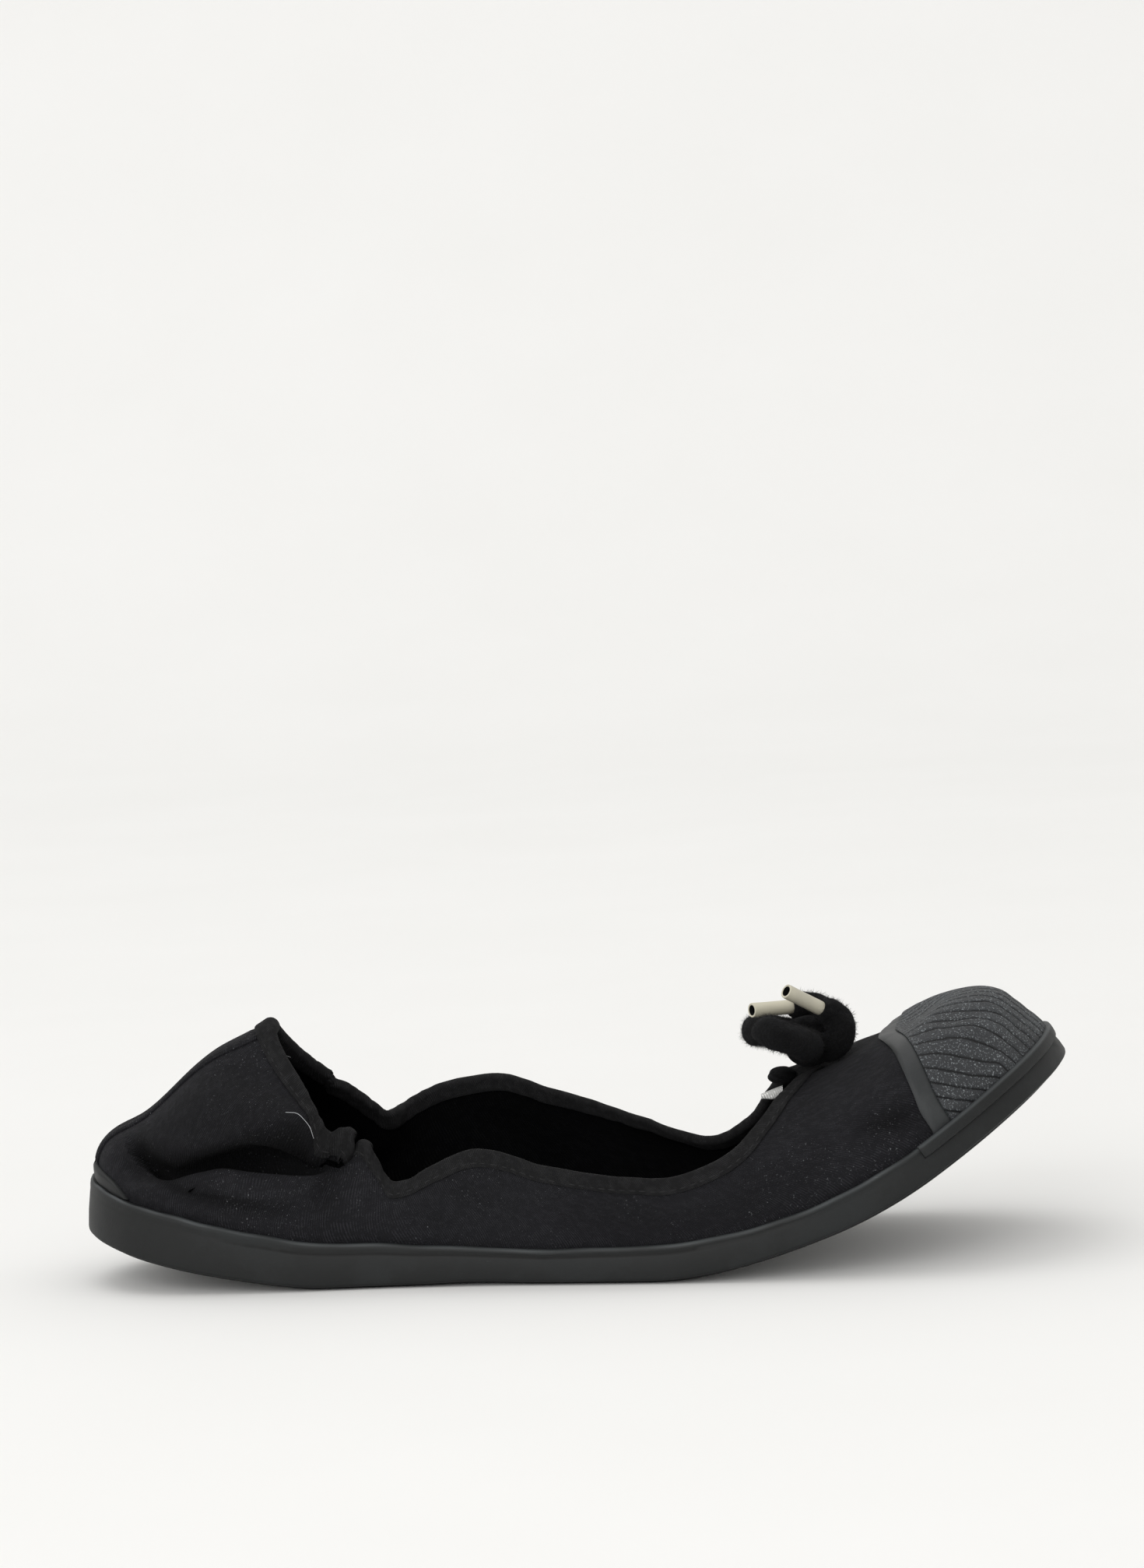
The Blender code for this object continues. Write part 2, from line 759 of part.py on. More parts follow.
def make_cap(name, front, back, thick, finish):
    """A rubber overlay on the toe, between two stations along the sole."""
    first = ring_of(back / SOLE_LENGTH) / 2
    ends = [ring_of(CAP_EDGE - k * BAND_WIDTH / SOLE_LENGTH / 2) / 2 for k in range(-2, 2)]
    ribs = ends + [1 - turn for turn in ends]
    ribs += [station(k) for k in range(STATIONS // 2, 3 * STATIONS // 2)]
    cells = []
    for turn in sorted(set(kept(ribs, first, 1 - first))):
        seat = foxing_top(turn) + 2 * GAP
        start = rise_where(turn, lambda point: point.z > seat)
        low = max(start, rise_where(turn, lambda point: point.x < front))
        high = max(low + 0.004, rise_where(turn, lambda point: point.x < back))
        cells.append([(turn, rise) for rise in kept(wall_rises()[2:], low, high)])
    return patch(name, cells, CAP_GAP, thick, finish)


def bow_point(row):
    """A row of the bow's tables as a point of the shoe."""
    forward, medial, up = (share * CORD_DIAMETER for share in row)
    return knot_middle() + Vector((forward, medial, up))


def knot_middle():
    return wall(0.5, 1.0) + Vector((KNOT_AHEAD, 0, KNOT_RISE))


def smooth_route(rows, step):
    """Points a step apart on a smooth curve through a route's own points."""
    knots = [bow_point(row) for row in rows]
    knots = [2 * knots[0] - knots[1], *knots, 2 * knots[-1] - knots[-2]]
    fine = []
    for a, b, c, d in zip(knots, knots[1:], knots[2:], knots[3:]):
        for k in range(20):
            t = k / 20
            fine.append(
                0.5
                * (
                    2 * b
                    + (c - a) * t
                    + (2 * a - 5 * b + 4 * c - d) * t**2
                    + (3 * b - a - 3 * c + d) * t**3
                )
            )
    fine.append(knots[-2])
    points, gone = [fine[0]], 0.0
    for a, b in zip(fine, fine[1:]):
        gone += (b - a).length
        if gone >= step:
            points.append(b)
            gone = 0.0
    if (points[-1] - fine[-1]).length > step / 3:
        points.append(fine[-1])
    return points


def tube(name, points, radius, finish):
    """A round cord along points, made a mesh whose ends are closed."""
    curve = bpy.data.curves.new(name, "CURVE")
    curve.dimensions = "3D"
    curve.bevel_depth = radius
    curve.bevel_resolution = 2
    curve.use_fill_caps = True
    spline = curve.splines.new("POLY")
    spline.points.add(len(points) - 1)
    for slot, point in zip(spline.points, points):
        slot.co = (*point, 1.0)
    guide = bpy.data.objects.new(name + "_guide", curve)
    bpy.context.scene.collection.objects.link(guide)
    graph = bpy.context.evaluated_depsgraph_get()
    data = bpy.data.meshes.new_from_object(guide.evaluated_get(graph))
    data.name = name
    mesh = bmesh.new()
    mesh.from_mesh(data)
    bmesh.ops.remove_doubles(mesh, verts=mesh.verts, dist=1e-6)
    bmesh.ops.recalc_face_normals(mesh, faces=mesh.faces)
    mesh.to_mesh(data)
    mesh.free()
    bpy.data.objects.remove(guide)
    data.materials.clear()
    return add_object(name, data, finish)


def lump(name, middle, sizes, finish, folder="ballet_flat"):
    """A knot in the cord: an oval of given half sizes."""
    mesh = bmesh.new()
    bmesh.ops.create_uvsphere(mesh, u_segments=18, v_segments=10, radius=1.0)
    move = Matrix.Translation(middle) @ Matrix.Diagonal((*sizes, 1.0))
    bmesh.ops.transform(mesh, matrix=move, verts=mesh.verts)
    data = bpy.data.meshes.new(name)
    mesh.to_mesh(data)
    mesh.free()
    return add_object(name, data, finish, folder)


def make_drawcord_end(cord_finish, label_finish):
    """The drawcord's knotted inner end, and the tab under it."""
    binding = WALL + TAPE_GAP + TAPE_THICK
    behind = binding + GAP + END_BEHIND + END_LONG
    middle = wall(0.5, 1.0) + Vector((-behind, END_WIDE, -END_DROP))
    lump("drawcord_end", middle, (END_LONG, END_WIDE, END_TALL), cord_finish)
    rows = []
    for back, width, thickness in LABEL_SECTIONS:
        back *= LABEL_LONG
        half = width * LABEL_WIDE / 2
        thick = thickness * LABEL_THICK
        centre = middle + Vector((-back, 0, -END_TALL - GAP - thick / 2 - back * 0.35))
        corners = ((-half, -thick / 2), (half, -thick / 2), (half, thick / 2), (-half, thick / 2))
        rows.append([centre + Vector((0, across, up)) for across, up in corners])
    loft("inner_tab", rows, label_finish)


def cut(obj, cutter):
    modifier = obj.modifiers.new("clear of the knot", "BOOLEAN")
    modifier.operation = "DIFFERENCE"
    modifier.solver = "MANIFOLD"
    modifier.object = cutter


def make_aglet(name, start, direction, finish):
    """A plastic tube on the cord's end, with the cord set back inside its mouth."""
    radius = AGLET_DIAMETER / 2
    mouth = radius - AGLET_WALL
    profile = (
        # out, along
        (0.0, AGLET_LENGTH - AGLET_RECESS),
        (mouth, AGLET_LENGTH - AGLET_RECESS),
        (mouth, AGLET_LENGTH),
        (radius, AGLET_LENGTH),
        (radius, 0.0),
        (0.0, 0.0),
    )
    data = bpy.data.meshes.new(name)
    edges = [(k, k + 1) for k in range(len(profile) - 1)]
    data.from_pydata([(out, 0, up) for out, up in profile], edges, [])
    obj = add_object(name, data, finish)
    screw = obj.modifiers.new("turn", "SCREW")
    screw.steps = screw.render_steps = 16
    screw.use_merge_vertices = True
    screw.merge_threshold = 0.00001
    obj.rotation_mode = "QUATERNION"
    obj.rotation_quaternion = direction.to_track_quat("Z", "Y")
    obj.location = start
    return obj


def make_tail(name, rows, cord_finish, aglet_finish, cutter):
    """A bow end: the cord up to its aglet, and the aglet in line with it."""
    points = smooth_route(rows, CORD_STEP)
    tail = tube(name, points, CORD_DIAMETER / 2, cord_finish)
    cut(tail, cutter)
    direction = (points[-1] - points[-2]).normalized()
    make_aglet(name.replace("tail", "aglet"), points[-1] + direction * GAP, direction, aglet_finish)


def make_bow(cord_finish, aglet_finish):
    sizes = Vector((KNOT_LONG, KNOT_WIDE, KNOT_TALL))
    lump("bow_knot", knot_middle(), sizes, cord_finish)
    grown = sizes + Vector((GAP, GAP, GAP))
    cutter = lump("knot_clearance", knot_middle(), grown, None, "cutters")
    cutter.hide_render = True
    cutter.display_type = "WIRE"
    for name, rows in (("bow_loop_near", LOOP_NEAR), ("bow_loop_far", LOOP_FAR)):
        loop = tube(name, smooth_route(rows, CORD_STEP), CORD_DIAMETER / 2, cord_finish)
        cut(loop, cutter)
    make_tail("bow_tail_near", TAIL_NEAR, cord_finish, aglet_finish, cutter)
    make_tail("bow_tail_far", TAIL_FAR, cord_finish, aglet_finish, cutter)


def main():
    clear_scene()
    canvas = material("canvas", (0.020, 0.020, 0.024), 0.95)
    tape = material("binding_tape", (0.024, 0.024, 0.025), 0.90)
    rubber = material("sole_rubber", (0.022, 0.026, 0.028), 0.60)
    band_rubber = material("band_rubber", (0.085, 0.088, 0.088), 0.55)
    cap_rubber = material("cap_rubber", (0.040, 0.044, 0.047), 0.75)
    footbed = material("footbed", (0.012, 0.012, 0.013), 0.95)
    cord = material("bow_cord", (0.010, 0.010, 0.011), 1.0)
    label = material("tab_fabric", (0.55, 0.55, 0.54), 0.90)
    plastic = material("aglet_plastic", (0.62, 0.60, 0.50), 0.45)

    make_outsole(rubber)
    make_foxing(rubber)
    make_bumper(rubber)
    make_heel_tab(rubber)
    make_insole(footbed)
    make_upper(canvas)
    make_binding(tape)
    make_back_strip(canvas)
    band_front = CAP_EDGE * SOLE_LENGTH
    band_back = band_front - BAND_WIDTH
    make_cap("toe_cap", SOLE_LENGTH, band_front + 2 * GAP, CAP_THICK, cap_rubber)
    make_cap("cap_band", band_front, band_back, BAND_THICK, band_rubber)
    make_bow(cord, plastic)
    make_drawcord_end(cord, label)


if __name__ == "__main__":
    main()
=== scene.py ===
"""Dresses a right ballet flat of black canvas, in its relaxed form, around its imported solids.

Metres, +X to the toe, +Y to the medial side, +Z up. The shoe's forms are worked out in the
sole's own frame, (along, across, up), as its maker draws them: turn goes round the outline
from the heel's back, rise goes up the wall from its foot to the collar.
"""

from math import acos, cos, pi, radians, sin, tau

import bmesh
import bpy
import numpy as np
from bpy.props import FloatProperty, FloatVectorProperty, IntProperty, PointerProperty
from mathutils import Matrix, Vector


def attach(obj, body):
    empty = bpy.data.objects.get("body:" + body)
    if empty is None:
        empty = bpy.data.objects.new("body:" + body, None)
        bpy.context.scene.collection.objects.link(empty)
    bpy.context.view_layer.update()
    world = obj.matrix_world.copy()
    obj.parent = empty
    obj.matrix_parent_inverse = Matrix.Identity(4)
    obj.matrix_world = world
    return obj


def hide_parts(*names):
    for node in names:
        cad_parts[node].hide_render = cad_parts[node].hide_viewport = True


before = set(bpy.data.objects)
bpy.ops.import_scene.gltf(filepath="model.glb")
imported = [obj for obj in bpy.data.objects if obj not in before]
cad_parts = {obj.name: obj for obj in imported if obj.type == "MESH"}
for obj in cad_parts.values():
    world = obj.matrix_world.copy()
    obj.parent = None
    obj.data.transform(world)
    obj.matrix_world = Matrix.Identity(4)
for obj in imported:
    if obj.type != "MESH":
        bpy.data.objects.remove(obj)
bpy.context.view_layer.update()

bl_info = {
    "name": "Ballet Flat", "version": (1, 0, 0), "blender": (4, 5, 0),
    "location": "View3D > Sidebar > Flat",
    "description": "Makes the canvas, tapes, rubber and bow of a ballet flat around its solids",
    "category": "Object",
}

# The shoe's sizes, in metres, as its solids have them
SOLE_LENGTH = 0.248
BALL_WIDTH = 0.086
TIP_SHIFT = 0.005
PEAK_HEIGHT = 0.0595
FOXING_HEIGHT = 0.0130
SOLE_THICK = 0.0040
SOLE_BEVEL = 0.0008
FOXING_THICK = 0.0020
FOXING_LIFT = 0.0008
FOXING_STEP = 0.00035
WALL = 0.0016
TAPE_THICK = 0.0008
TAPE_DEPTH = 0.0030
TAPE_GAP = 0.0005
INSOLE_THICK = 0.0020
CAP_THICK = 0.0012
BAND_WIDTH = 0.0045
BAND_PROUD = 0.0008
BAND_BOW = 0.0029
CAP_GAP = 0.0005
BUMPER_THICK = 0.0011
BUMPER_DEPTH = 0.0032
TAB_THICK = 0.0010
TAB_HEIGHT = FOXING_HEIGHT + 0.0038
TAB_RING = 0.125
FLARE = 0.0027
FLARE_RING = 0.32
STRIP_THICK = 0.0008
STRIP_WIDTH = 0.0110
CORD_DIAMETER = 0.0054
KNOT_RISE = 0.0068
END_LONG = 0.0034
END_WIDE = 0.0034
END_TALL = 0.0022
END_BEHIND = 0.0006
END_DROP = 0.0008
LABEL_LONG = 0.0053
LABEL_WIDE = 0.0040
LABEL_THICK = 0.0026
AGLET_DIAMETER = 0.0035
AGLET_LENGTH = 0.0108
AGLET_WALL = 0.0005
GAP = 0.0003
HEEL_FLAT = (0.246, 0.322)
BALL_FLAT = (0.450, 0.552)
ARCH_SLOPE = 2.2
HEEL_MOUNT = sum(HEEL_FLAT) / 2
TIP_START = 0.60
WALL_FOOT = 0.12
INSOLE_BEVEL = 0.0005
FOXING_STEP_SHARE = 0.74
TOE_KICK = 0.0007
BAND_LAP = 0.0006
CAP_EDGE = 0.881
BUMPER_ALONG = 0.845

# How finely the pieces are divided, and how their meshes are cleaned
MERGE_DISTANCE = 2e-6
SHARP_ANGLE = radians(42)
FOXING_RIBS = 640
BUMPER_RIBS = 260
SLAB_RIBS = 260
SLAB_COLUMNS = 13
HAIR_POINTS = 60
TOE_RIBS = 401
SLICE_ENDS = 20
SLICE_POINTS = 301
SLICE_RIDGE = SLICE_ENDS + SLICE_POINTS // 2
BAND_ROWS = 12
BAND_COLUMNS = 161
CAP_RIBS = 460
CAP_COLUMNS = 120

# The sole's slope in degrees, at shares of the length
HEEL_SLOPES = (
    # along, slope
    (0.000, -17.5),
    (0.040, -16.0),
    (0.080, -14.0),
    (0.120, -12.0),
    (0.160, -10.0),
    (0.200, -8.5),
    (0.225, -5.5),
    (HEEL_FLAT[0], 0.0),
)
TOE_SLOPES = (
    # along, slope
    (BALL_FLAT[1], 0.0),
    (0.600, 9.0),
    (0.657, 15.5),
    (0.722, 19.5),
    (0.786, 26.0),
    (0.843, 31.5),
    (0.915, 33.0),
    (1.000, 30.0),
)

# Half widths of the foxing's outline, as shares of the ball width
OUTLINE = (
    # along, lateral, medial
    (0.000, 0.000, 0.000),
    (0.025, 0.203, 0.203),
    (0.060, 0.285, 0.285),
    (0.120, 0.333, 0.333),
    (0.200, 0.351, 0.349),
    (0.300, 0.358, 0.343),
    (0.400, 0.386, 0.333),
    (0.500, 0.435, 0.351),
    (0.600, 0.479, 0.402),
    (0.680, 0.502, 0.449),
    (0.750, 0.510, 0.472),
    (0.820, 0.494, 0.466),
    (0.890, 0.437, 0.419),
    (0.945, 0.343, 0.329),
    (0.980, 0.221, 0.209),
    (1.000, 0.000, 0.000),
)

# The foxing's top edge, as shares of its height at the heel
FOXING_TOP = (
    # along, height
    (0.00, 1.00),
    (0.08, 1.00),
    (0.20, 0.89),
    (0.28, 0.84),
    (0.37, 0.71),
    (0.46, 0.64),
    (0.58, 0.70),
    (0.68, 0.64),
    (1.00, 0.65),
)

# The collar's edge with its binding: shares of the way round, the length, the width, the height
COLLAR_LATERAL = (
    # ring, along, across, up
    (0.000, 0.149, 0.000, 0.993),
    (0.030, 0.151, 0.040, 0.985),
    (0.100, 0.171, 0.116, 0.898),
    (0.155, 0.195, 0.174, 0.807),
    (0.205, 0.213, 0.209, 0.738),
    (0.250, 0.233, 0.244, 0.655),
    (0.280, 0.256, 0.256, 0.622),
    (0.315, 0.283, 0.279, 0.618),
    (0.345, 0.297, 0.302, 0.535),
    (0.375, 0.314, 0.326, 0.428),
    (0.393, 0.329, 0.331, 0.436),
    (0.417, 0.360, 0.343, 0.492),
    (0.445, 0.392, 0.355, 0.542),
    (0.500, 0.460, 0.390, 0.476),
    (0.550, 0.533, 0.430, 0.429),
    (0.588, 0.590, 0.436, 0.415),
    (0.632, 0.658, 0.419, 0.441),
    (0.710, 0.705, 0.337, 0.510),
    (0.775, 0.735, 0.256, 0.562),
    (0.860, 0.757, 0.150, 0.571),
    (1.000, 0.775, 0.000, 0.541),
)
COLLAR_MEDIAL = (
    # ring, along, across, up
    (0.000, 0.149, 0.000, 0.993),
    (0.030, 0.151, 0.040, 0.985),
    (0.120, 0.183, 0.105, 0.874),
    (0.175, 0.204, 0.140, 0.818),
    (0.225, 0.231, 0.163, 0.773),
    (0.265, 0.258, 0.186, 0.721),
    (0.300, 0.280, 0.222, 0.640),
    (0.330, 0.296, 0.260, 0.580),
    (0.355, 0.308, 0.320, 0.595),
    (0.390, 0.332, 0.349, 0.637),
    (0.450, 0.397, 0.366, 0.682),
    (0.490, 0.440, 0.368, 0.634),
    (0.530, 0.490, 0.386, 0.562),
    (0.565, 0.528, 0.401, 0.496),
    (0.600, 0.584, 0.407, 0.416),
    (0.640, 0.636, 0.398, 0.352),
    (0.705, 0.682, 0.337, 0.401),
    (0.760, 0.710, 0.256, 0.489),
    (0.850, 0.745, 0.140, 0.565),
    (1.000, 0.775, 0.000, 0.541),
)

# The two handles of each rib between the foxing and the collar
RIBS = (
    # ring, lift, bulge, forward, outward, drop
    (0.000, 0.270, 0.048, -0.250, 0.000, 0.500),
    (0.100, 0.300, 0.050, -0.210, 0.080, 0.380),
    (0.190, 0.300, 0.035, -0.120, 0.140, 0.300),
    (0.270, 0.330, 0.025, -0.040, 0.090, 0.300),
    (0.350, 0.350, 0.018, 0.000, 0.035, 0.350),
    (0.560, 0.350, 0.018, 0.010, 0.020, 0.350),
    (0.660, 0.450, 0.022, 0.060, 0.060, 0.320),
    (0.760, 0.740, 0.028, 0.150, 0.110, 0.220),
    (0.880, 0.950, 0.032, 0.290, 0.070, 0.140),
    (1.000, 1.000, 0.033, 0.348, 0.000, 0.110),
)

# Main folds: troughs where depth is above 0 and rolls where it is below
FOLDS = (
    # side, ring, ring reach, rise, slant, rise reach, depth
    (-1, 0.195, 0.140, 0.410, 2.0, 0.210, 0.078),
    (-1, 0.170, 0.140, 0.760, 1.0, 0.230, -0.036),
    (-1, 0.330, 0.045, 0.640, 0.0, 0.360, 0.020),
    (-1, 0.410, 0.050, 0.700, 0.0, 0.420, -0.015),
    (-1, 1.000, 0.300, 0.610, 0.0, 0.160, 0.022),
    (1, 0.185, 0.140, 0.330, 0.0, 0.200, 0.055),
    (1, 0.170, 0.130, 0.630, 0.0, 0.260, -0.035),
    (1, 0.350, 0.050, 0.700, 0.0, 0.340, 0.020),
    (1, 1.000, 0.300, 0.610, 0.0, 0.160, 0.022),
)

# The heel's overhang above its crease: how far over the crease a place is, how far it moves
# out and up, in metres, and how much painted shade its cloth gets, in the recess and on the flap
OVERHANG = (
    # over, out, up, shade
    (-0.0120, 0.0000, 0.0000, 0.0),
    (-0.0050, 0.0012, 0.0000, 0.0),
    (-0.0016, 0.0026, 0.0010, 0.0),
    (0.0000, 0.0012, 0.0014, 0.5),
    (0.0014, -0.0050, -0.0002, 1.0),
    (0.0040, -0.0088, -0.0014, 1.0),
    (0.0080, -0.0080, -0.0012, 1.0),
    (0.0125, -0.0050, -0.0006, 0.95),
    (0.0180, -0.0014, -0.0002, 0.75),
    (0.0240, 0.0004, 0.0000, 0.4),
    (0.0320, 0.0000, 0.0000, 0.32),
)
# Where the crease runs and how wide its hollow is, by the share of the way round: the rise
# above the foxing, and the hollow's size as a share of the table above
CREASE_LINE = {
    -1: (
        # ring, rise, size
        (0.050, 0.34, 0.30),
        (0.085, 0.29, 0.36),
        (0.110, 0.25, 0.42),
        (0.145, 0.22, 0.55),
        (0.200, 0.35, 0.80),
        (0.250, 0.50, 1.00),
        (0.300, 0.66, 1.00),
    ),
    1: (
        # ring, rise, size
        (0.050, 0.30, 0.30),
        (0.200, 0.28, 0.60),
        (0.300, 0.34, 0.60),
    ),
}
# The near side's overlap at the collar, where the heel's flap hangs in front of the quarter
OVERLAP = (
    # ring, ahead, out, up
    (0.200, 0.0000, 0.0000, 0.0000),
    (0.250, 0.0016, 0.0008, 0.0005),
    (0.278, 0.0034, 0.0015, 0.0004),
    (0.290, 0.0034, 0.0008, -0.0010),
    (0.299, 0.0012, -0.0024, -0.0030),
    (0.308, -0.0020, -0.0038, -0.0034),
    (0.320, -0.0012, -0.0014, -0.0018),
    (0.334, 0.0002, 0.0004, -0.0004),
    (0.352, 0.0000, 0.0000, 0.0000),
)
# How far the toe's front moves out, up the rise
TOE_SWELL = (
    # rise, out
    (0.06, 0.0000),
    (0.12, 0.0008),
    (0.15, 0.0002),
    (0.20, -0.0008),
    (0.26, -0.0010),
    (0.33, -0.0003),
    (0.40, 0.0000),
    (1.00, 0.0000),
)
# How far the heel's back swells, up the rise above the foxing
BACK_SWELL = (
    # rise, out
    (0.00, 0.0000),
    (0.22, 0.0014),
    (0.45, -0.0006),
    (0.80, 0.0026),
    (1.00, 0.0000),
)

# Creases drawn on the wall, as soft troughs, or ridges where depth is below 0
CREASES = (
    # side, width, depth, places as (ring, rise)
    (-1, 0.0022, 0.0016, ((0.055, 0.40), (0.09, 0.33), (0.15, 0.31), (0.22, 0.31), (0.30, 0.36))),
    (-1, 0.0020, -0.0012, ((0.06, 0.50), (0.12, 0.45), (0.20, 0.43), (0.27, 0.46))),
    (-1, 0.0030, 0.0010, ((0.27, 0.92), (0.30, 0.70), (0.315, 0.50), (0.32, 0.36))),
    (-1, 0.0022, -0.0010, ((0.335, 0.90), (0.345, 0.66), (0.345, 0.46))),
    (-1, 0.0040, 0.0012, ((0.86, 0.46), (0.89, 0.40), (0.925, 0.33))),
    (-1, 0.0040, -0.0007, ((0.84, 0.36), (0.88, 0.29), (0.92, 0.23))),
    (-1, 0.0032, 0.0015, ((0.722, 0.47), (0.735, 0.37), (0.751, 0.27), (0.772, 0.21))),
    (-1, 0.0030, 0.0005, ((0.40, 0.96), (0.43, 0.72), (0.45, 0.50))),
    (-1, 0.0030, -0.0005, ((0.45, 0.96), (0.47, 0.76), (0.49, 0.58))),
    (-1, 0.0050, 0.0006, ((0.60, 0.72), (0.66, 0.55), (0.72, 0.44))),
    (-1, 0.0060, -0.0005, ((0.66, 0.82), (0.72, 0.64), (0.78, 0.52))),
    (-1, 0.0045, 0.0005, ((0.48, 0.36), (0.58, 0.34), (0.68, 0.30))),
    (1, 0.0022, 0.0014, ((0.055, 0.42), (0.10, 0.36), (0.16, 0.34), (0.24, 0.36))),
    (1, 0.0024, 0.0009, ((0.295, 0.86), (0.32, 0.70), (0.335, 0.48))),
    (1, 0.0024, -0.0010, ((0.34, 0.92), (0.365, 0.66), (0.37, 0.46))),
    (1, 0.0036, 0.0008, ((0.43, 0.90), (0.47, 0.66), (0.48, 0.44))),
    (1, 0.0040, 0.0008, ((0.55, 0.86), (0.58, 0.62), (0.62, 0.44))),
    (1, 0.0044, 0.0010, ((0.86, 0.46), (0.89, 0.40), (0.925, 0.33))),
    (1, 0.0032, 0.0012, ((0.722, 0.47), (0.735, 0.37), (0.751, 0.27), (0.772, 0.21))),
    (1, 0.0050, 0.0006, ((0.60, 0.72), (0.66, 0.55), (0.72, 0.44))),
)

# Loose hairs at the heel: thickness, then places as (turn, rise, metres off the cloth)
HAIRS = (
    (
        "hair_long",
        0.00006,
        ((0.1005, 0.868, 0.0002), (0.1085, 0.893, 0.0014), (0.1170, 0.918, 0.0014), (0.1250, 0.925, 0.0003)),
    ),
    (
        "hair_short",
        0.00005,
        ((0.9500, 0.975, -0.0026), (0.9468, 0.985, -0.0034), (0.9435, 0.985, -0.0028)),
    ),
)

# The small tab inside the throat, as shares of its own sizes
LABEL_SECTIONS = (
    # back, width, thickness
    (0.00, 1.00, 1.00),
    (0.47, 0.95, 0.85),
    (1.00, 0.70, 0.38),
)

# The bow's cords from the knot's middle: forward, medial and up, in cord diameters
CORD_NEAR = (
    # forward, medial, up
    (-0.15, -0.70, 0.00),
    (-0.10, -1.75, 0.20),
    (-0.40, -2.75, 0.48),
    (-1.10, -3.40, 0.88),
    (-1.75, -2.90, 1.08),
    (-1.80, -1.90, 0.98),
    (-1.40, -1.10, 0.68),
    (-0.60, -0.65, 0.35),
    (0.15, -0.60, 0.00),
    (0.88, -0.72, 0.02),
    (1.32, -0.76, 0.42),
    (1.36, -0.66, 0.90),
    (1.00, -0.48, 1.36),
    (0.50, -0.80, 1.72),
)
CORD_FAR = (
    # forward, medial, up
    (-0.15, 0.70, 0.00),
    (-0.10, 1.75, 0.00),
    (-0.55, 2.85, 0.05),
    (-1.55, 3.40, 0.15),
    (-2.30, 2.75, 0.30),
    (-2.30, 1.75, 0.50),
    (-1.60, 1.05, 0.55),
    (-0.65, 0.65, 0.25),
    (0.15, 0.62, -0.10),
    (0.85, 0.70, 0.05),
    (1.10, 0.80, 0.65),
    (0.70, 0.98, 1.25),
    (-0.10, 1.16, 1.56),
    (-0.80, 0.78, 1.62),
)



def read(rows, column, at):
    """Reads a table's column at values of its first column, on a smooth curve with no overshoot."""
    keys = np.array([row[0] for row in rows])
    values = np.array([row[column] for row in rows])
    steps = np.diff(values) / np.diff(keys)
    slopes = np.concatenate(([steps[0]], np.zeros(len(keys) - 2), [steps[-1]]))
    product = steps[:-1] * steps[1:]
    even = np.where(product > 0, steps[:-1] + steps[1:], 1.0)
    slopes[1:-1] = np.where(product > 0, 2 * product / even, 0.0)
    at = np.asarray(at, float)
    k = np.clip(np.searchsorted(keys, at, side="right") - 1, 0, len(keys) - 2)
    width = keys[k + 1] - keys[k]
    t = np.clip((at - keys[k]) / width, 0.0, 1.0)
    value = (2 * t**3 - 3 * t**2 + 1) * values[k] + (t**3 - 2 * t**2 + t) * width * slopes[k]
    value = value + (3 * t**2 - 2 * t**3) * values[k + 1]
    return value + (t**3 - t**2) * width * slopes[k + 1]


def sole_slope(share):
    """The slope of the sole's underside, in radians, at shares of its length."""
    turn = (share - HEEL_FLAT[1]) / (BALL_FLAT[0] - HEEL_FLAT[1])
    arch = np.where((turn > 0) & (turn < 1), ARCH_SLOPE * np.sin(tau * turn), 0.0)
    heel = np.where(share < HEEL_FLAT[0], read(HEEL_SLOPES, 1, share), arch)
    return np.radians(np.where(share > BALL_FLAT[1], read(TOE_SLOPES, 1, share), heel))


def add_up_sole(steps=496):
    """The underside's middle line as x, z and slope, level at the heel's flat spot."""
    middle = sole_slope((np.arange(steps) + 0.5) / steps)
    x = np.concatenate(([0], np.cumsum(np.cos(middle)))) * SOLE_LENGTH / steps
    z = np.concatenate(([0], np.cumsum(np.sin(middle)))) * SOLE_LENGTH / steps
    k = round(HEEL_MOUNT * steps)
    return x - x[k], z - z[k], sole_slope(np.arange(steps + 1) / steps)


SOLE_LINE = add_up_sole()


def place(points):
    """Points of the sole's own frame as points of the shoe."""
    points = np.asarray(points, float)
    xs, zs, slopes = SOLE_LINE
    steps = len(xs) - 1
    at = points[..., 0] / SOLE_LENGTH * steps
    k = np.clip(at.astype(int), 0, steps - 1)
    t = at - k
    slope = slopes[k] + (slopes[k + 1] - slopes[k]) * np.clip(t, 0, 1)
    x = xs[k] + (xs[k + 1] - xs[k]) * t - points[..., 2] * np.sin(slope)
    z = zs[k] + (zs[k + 1] - zs[k]) * t + points[..., 2] * np.cos(slope)
    return np.stack((x, points[..., 1], z), axis=-1)


def along_of(ring):
    return (1 - np.cos(pi * ring)) / 2


def ring_of(along):
    return acos(1 - 2 * along) / pi


OUTLINE_RINGS = [(ring_of(row[0]), row[1], row[2]) for row in OUTLINE]


def ring_at(turn):
    turn = np.asarray(turn, float) % 1.0
    return 2 * np.minimum(turn, 1 - turn)


def side_at(turn):
    return np.where(np.asarray(turn, float) % 1.0 <= 0.5, -1.0, 1.0)


def outline(turn):
    """The foxing's outline as (along, across): turn 0 is the heel's back and 0.5 the toe."""
    ring, side = ring_at(turn), side_at(turn)
    share = along_of(ring)
    half = np.where(side < 0, read(OUTLINE_RINGS, 1, ring), read(OUTLINE_RINGS, 2, ring))
    swing = np.maximum(0.0, (share - TIP_START) / (1 - TIP_START))
    across = side * half * BALL_WIDTH + TIP_SHIFT * swing**2
    return np.stack((share * SOLE_LENGTH, across), axis=-1)


def unit(vectors):
    return vectors / np.linalg.norm(vectors, axis=-1, keepdims=True)


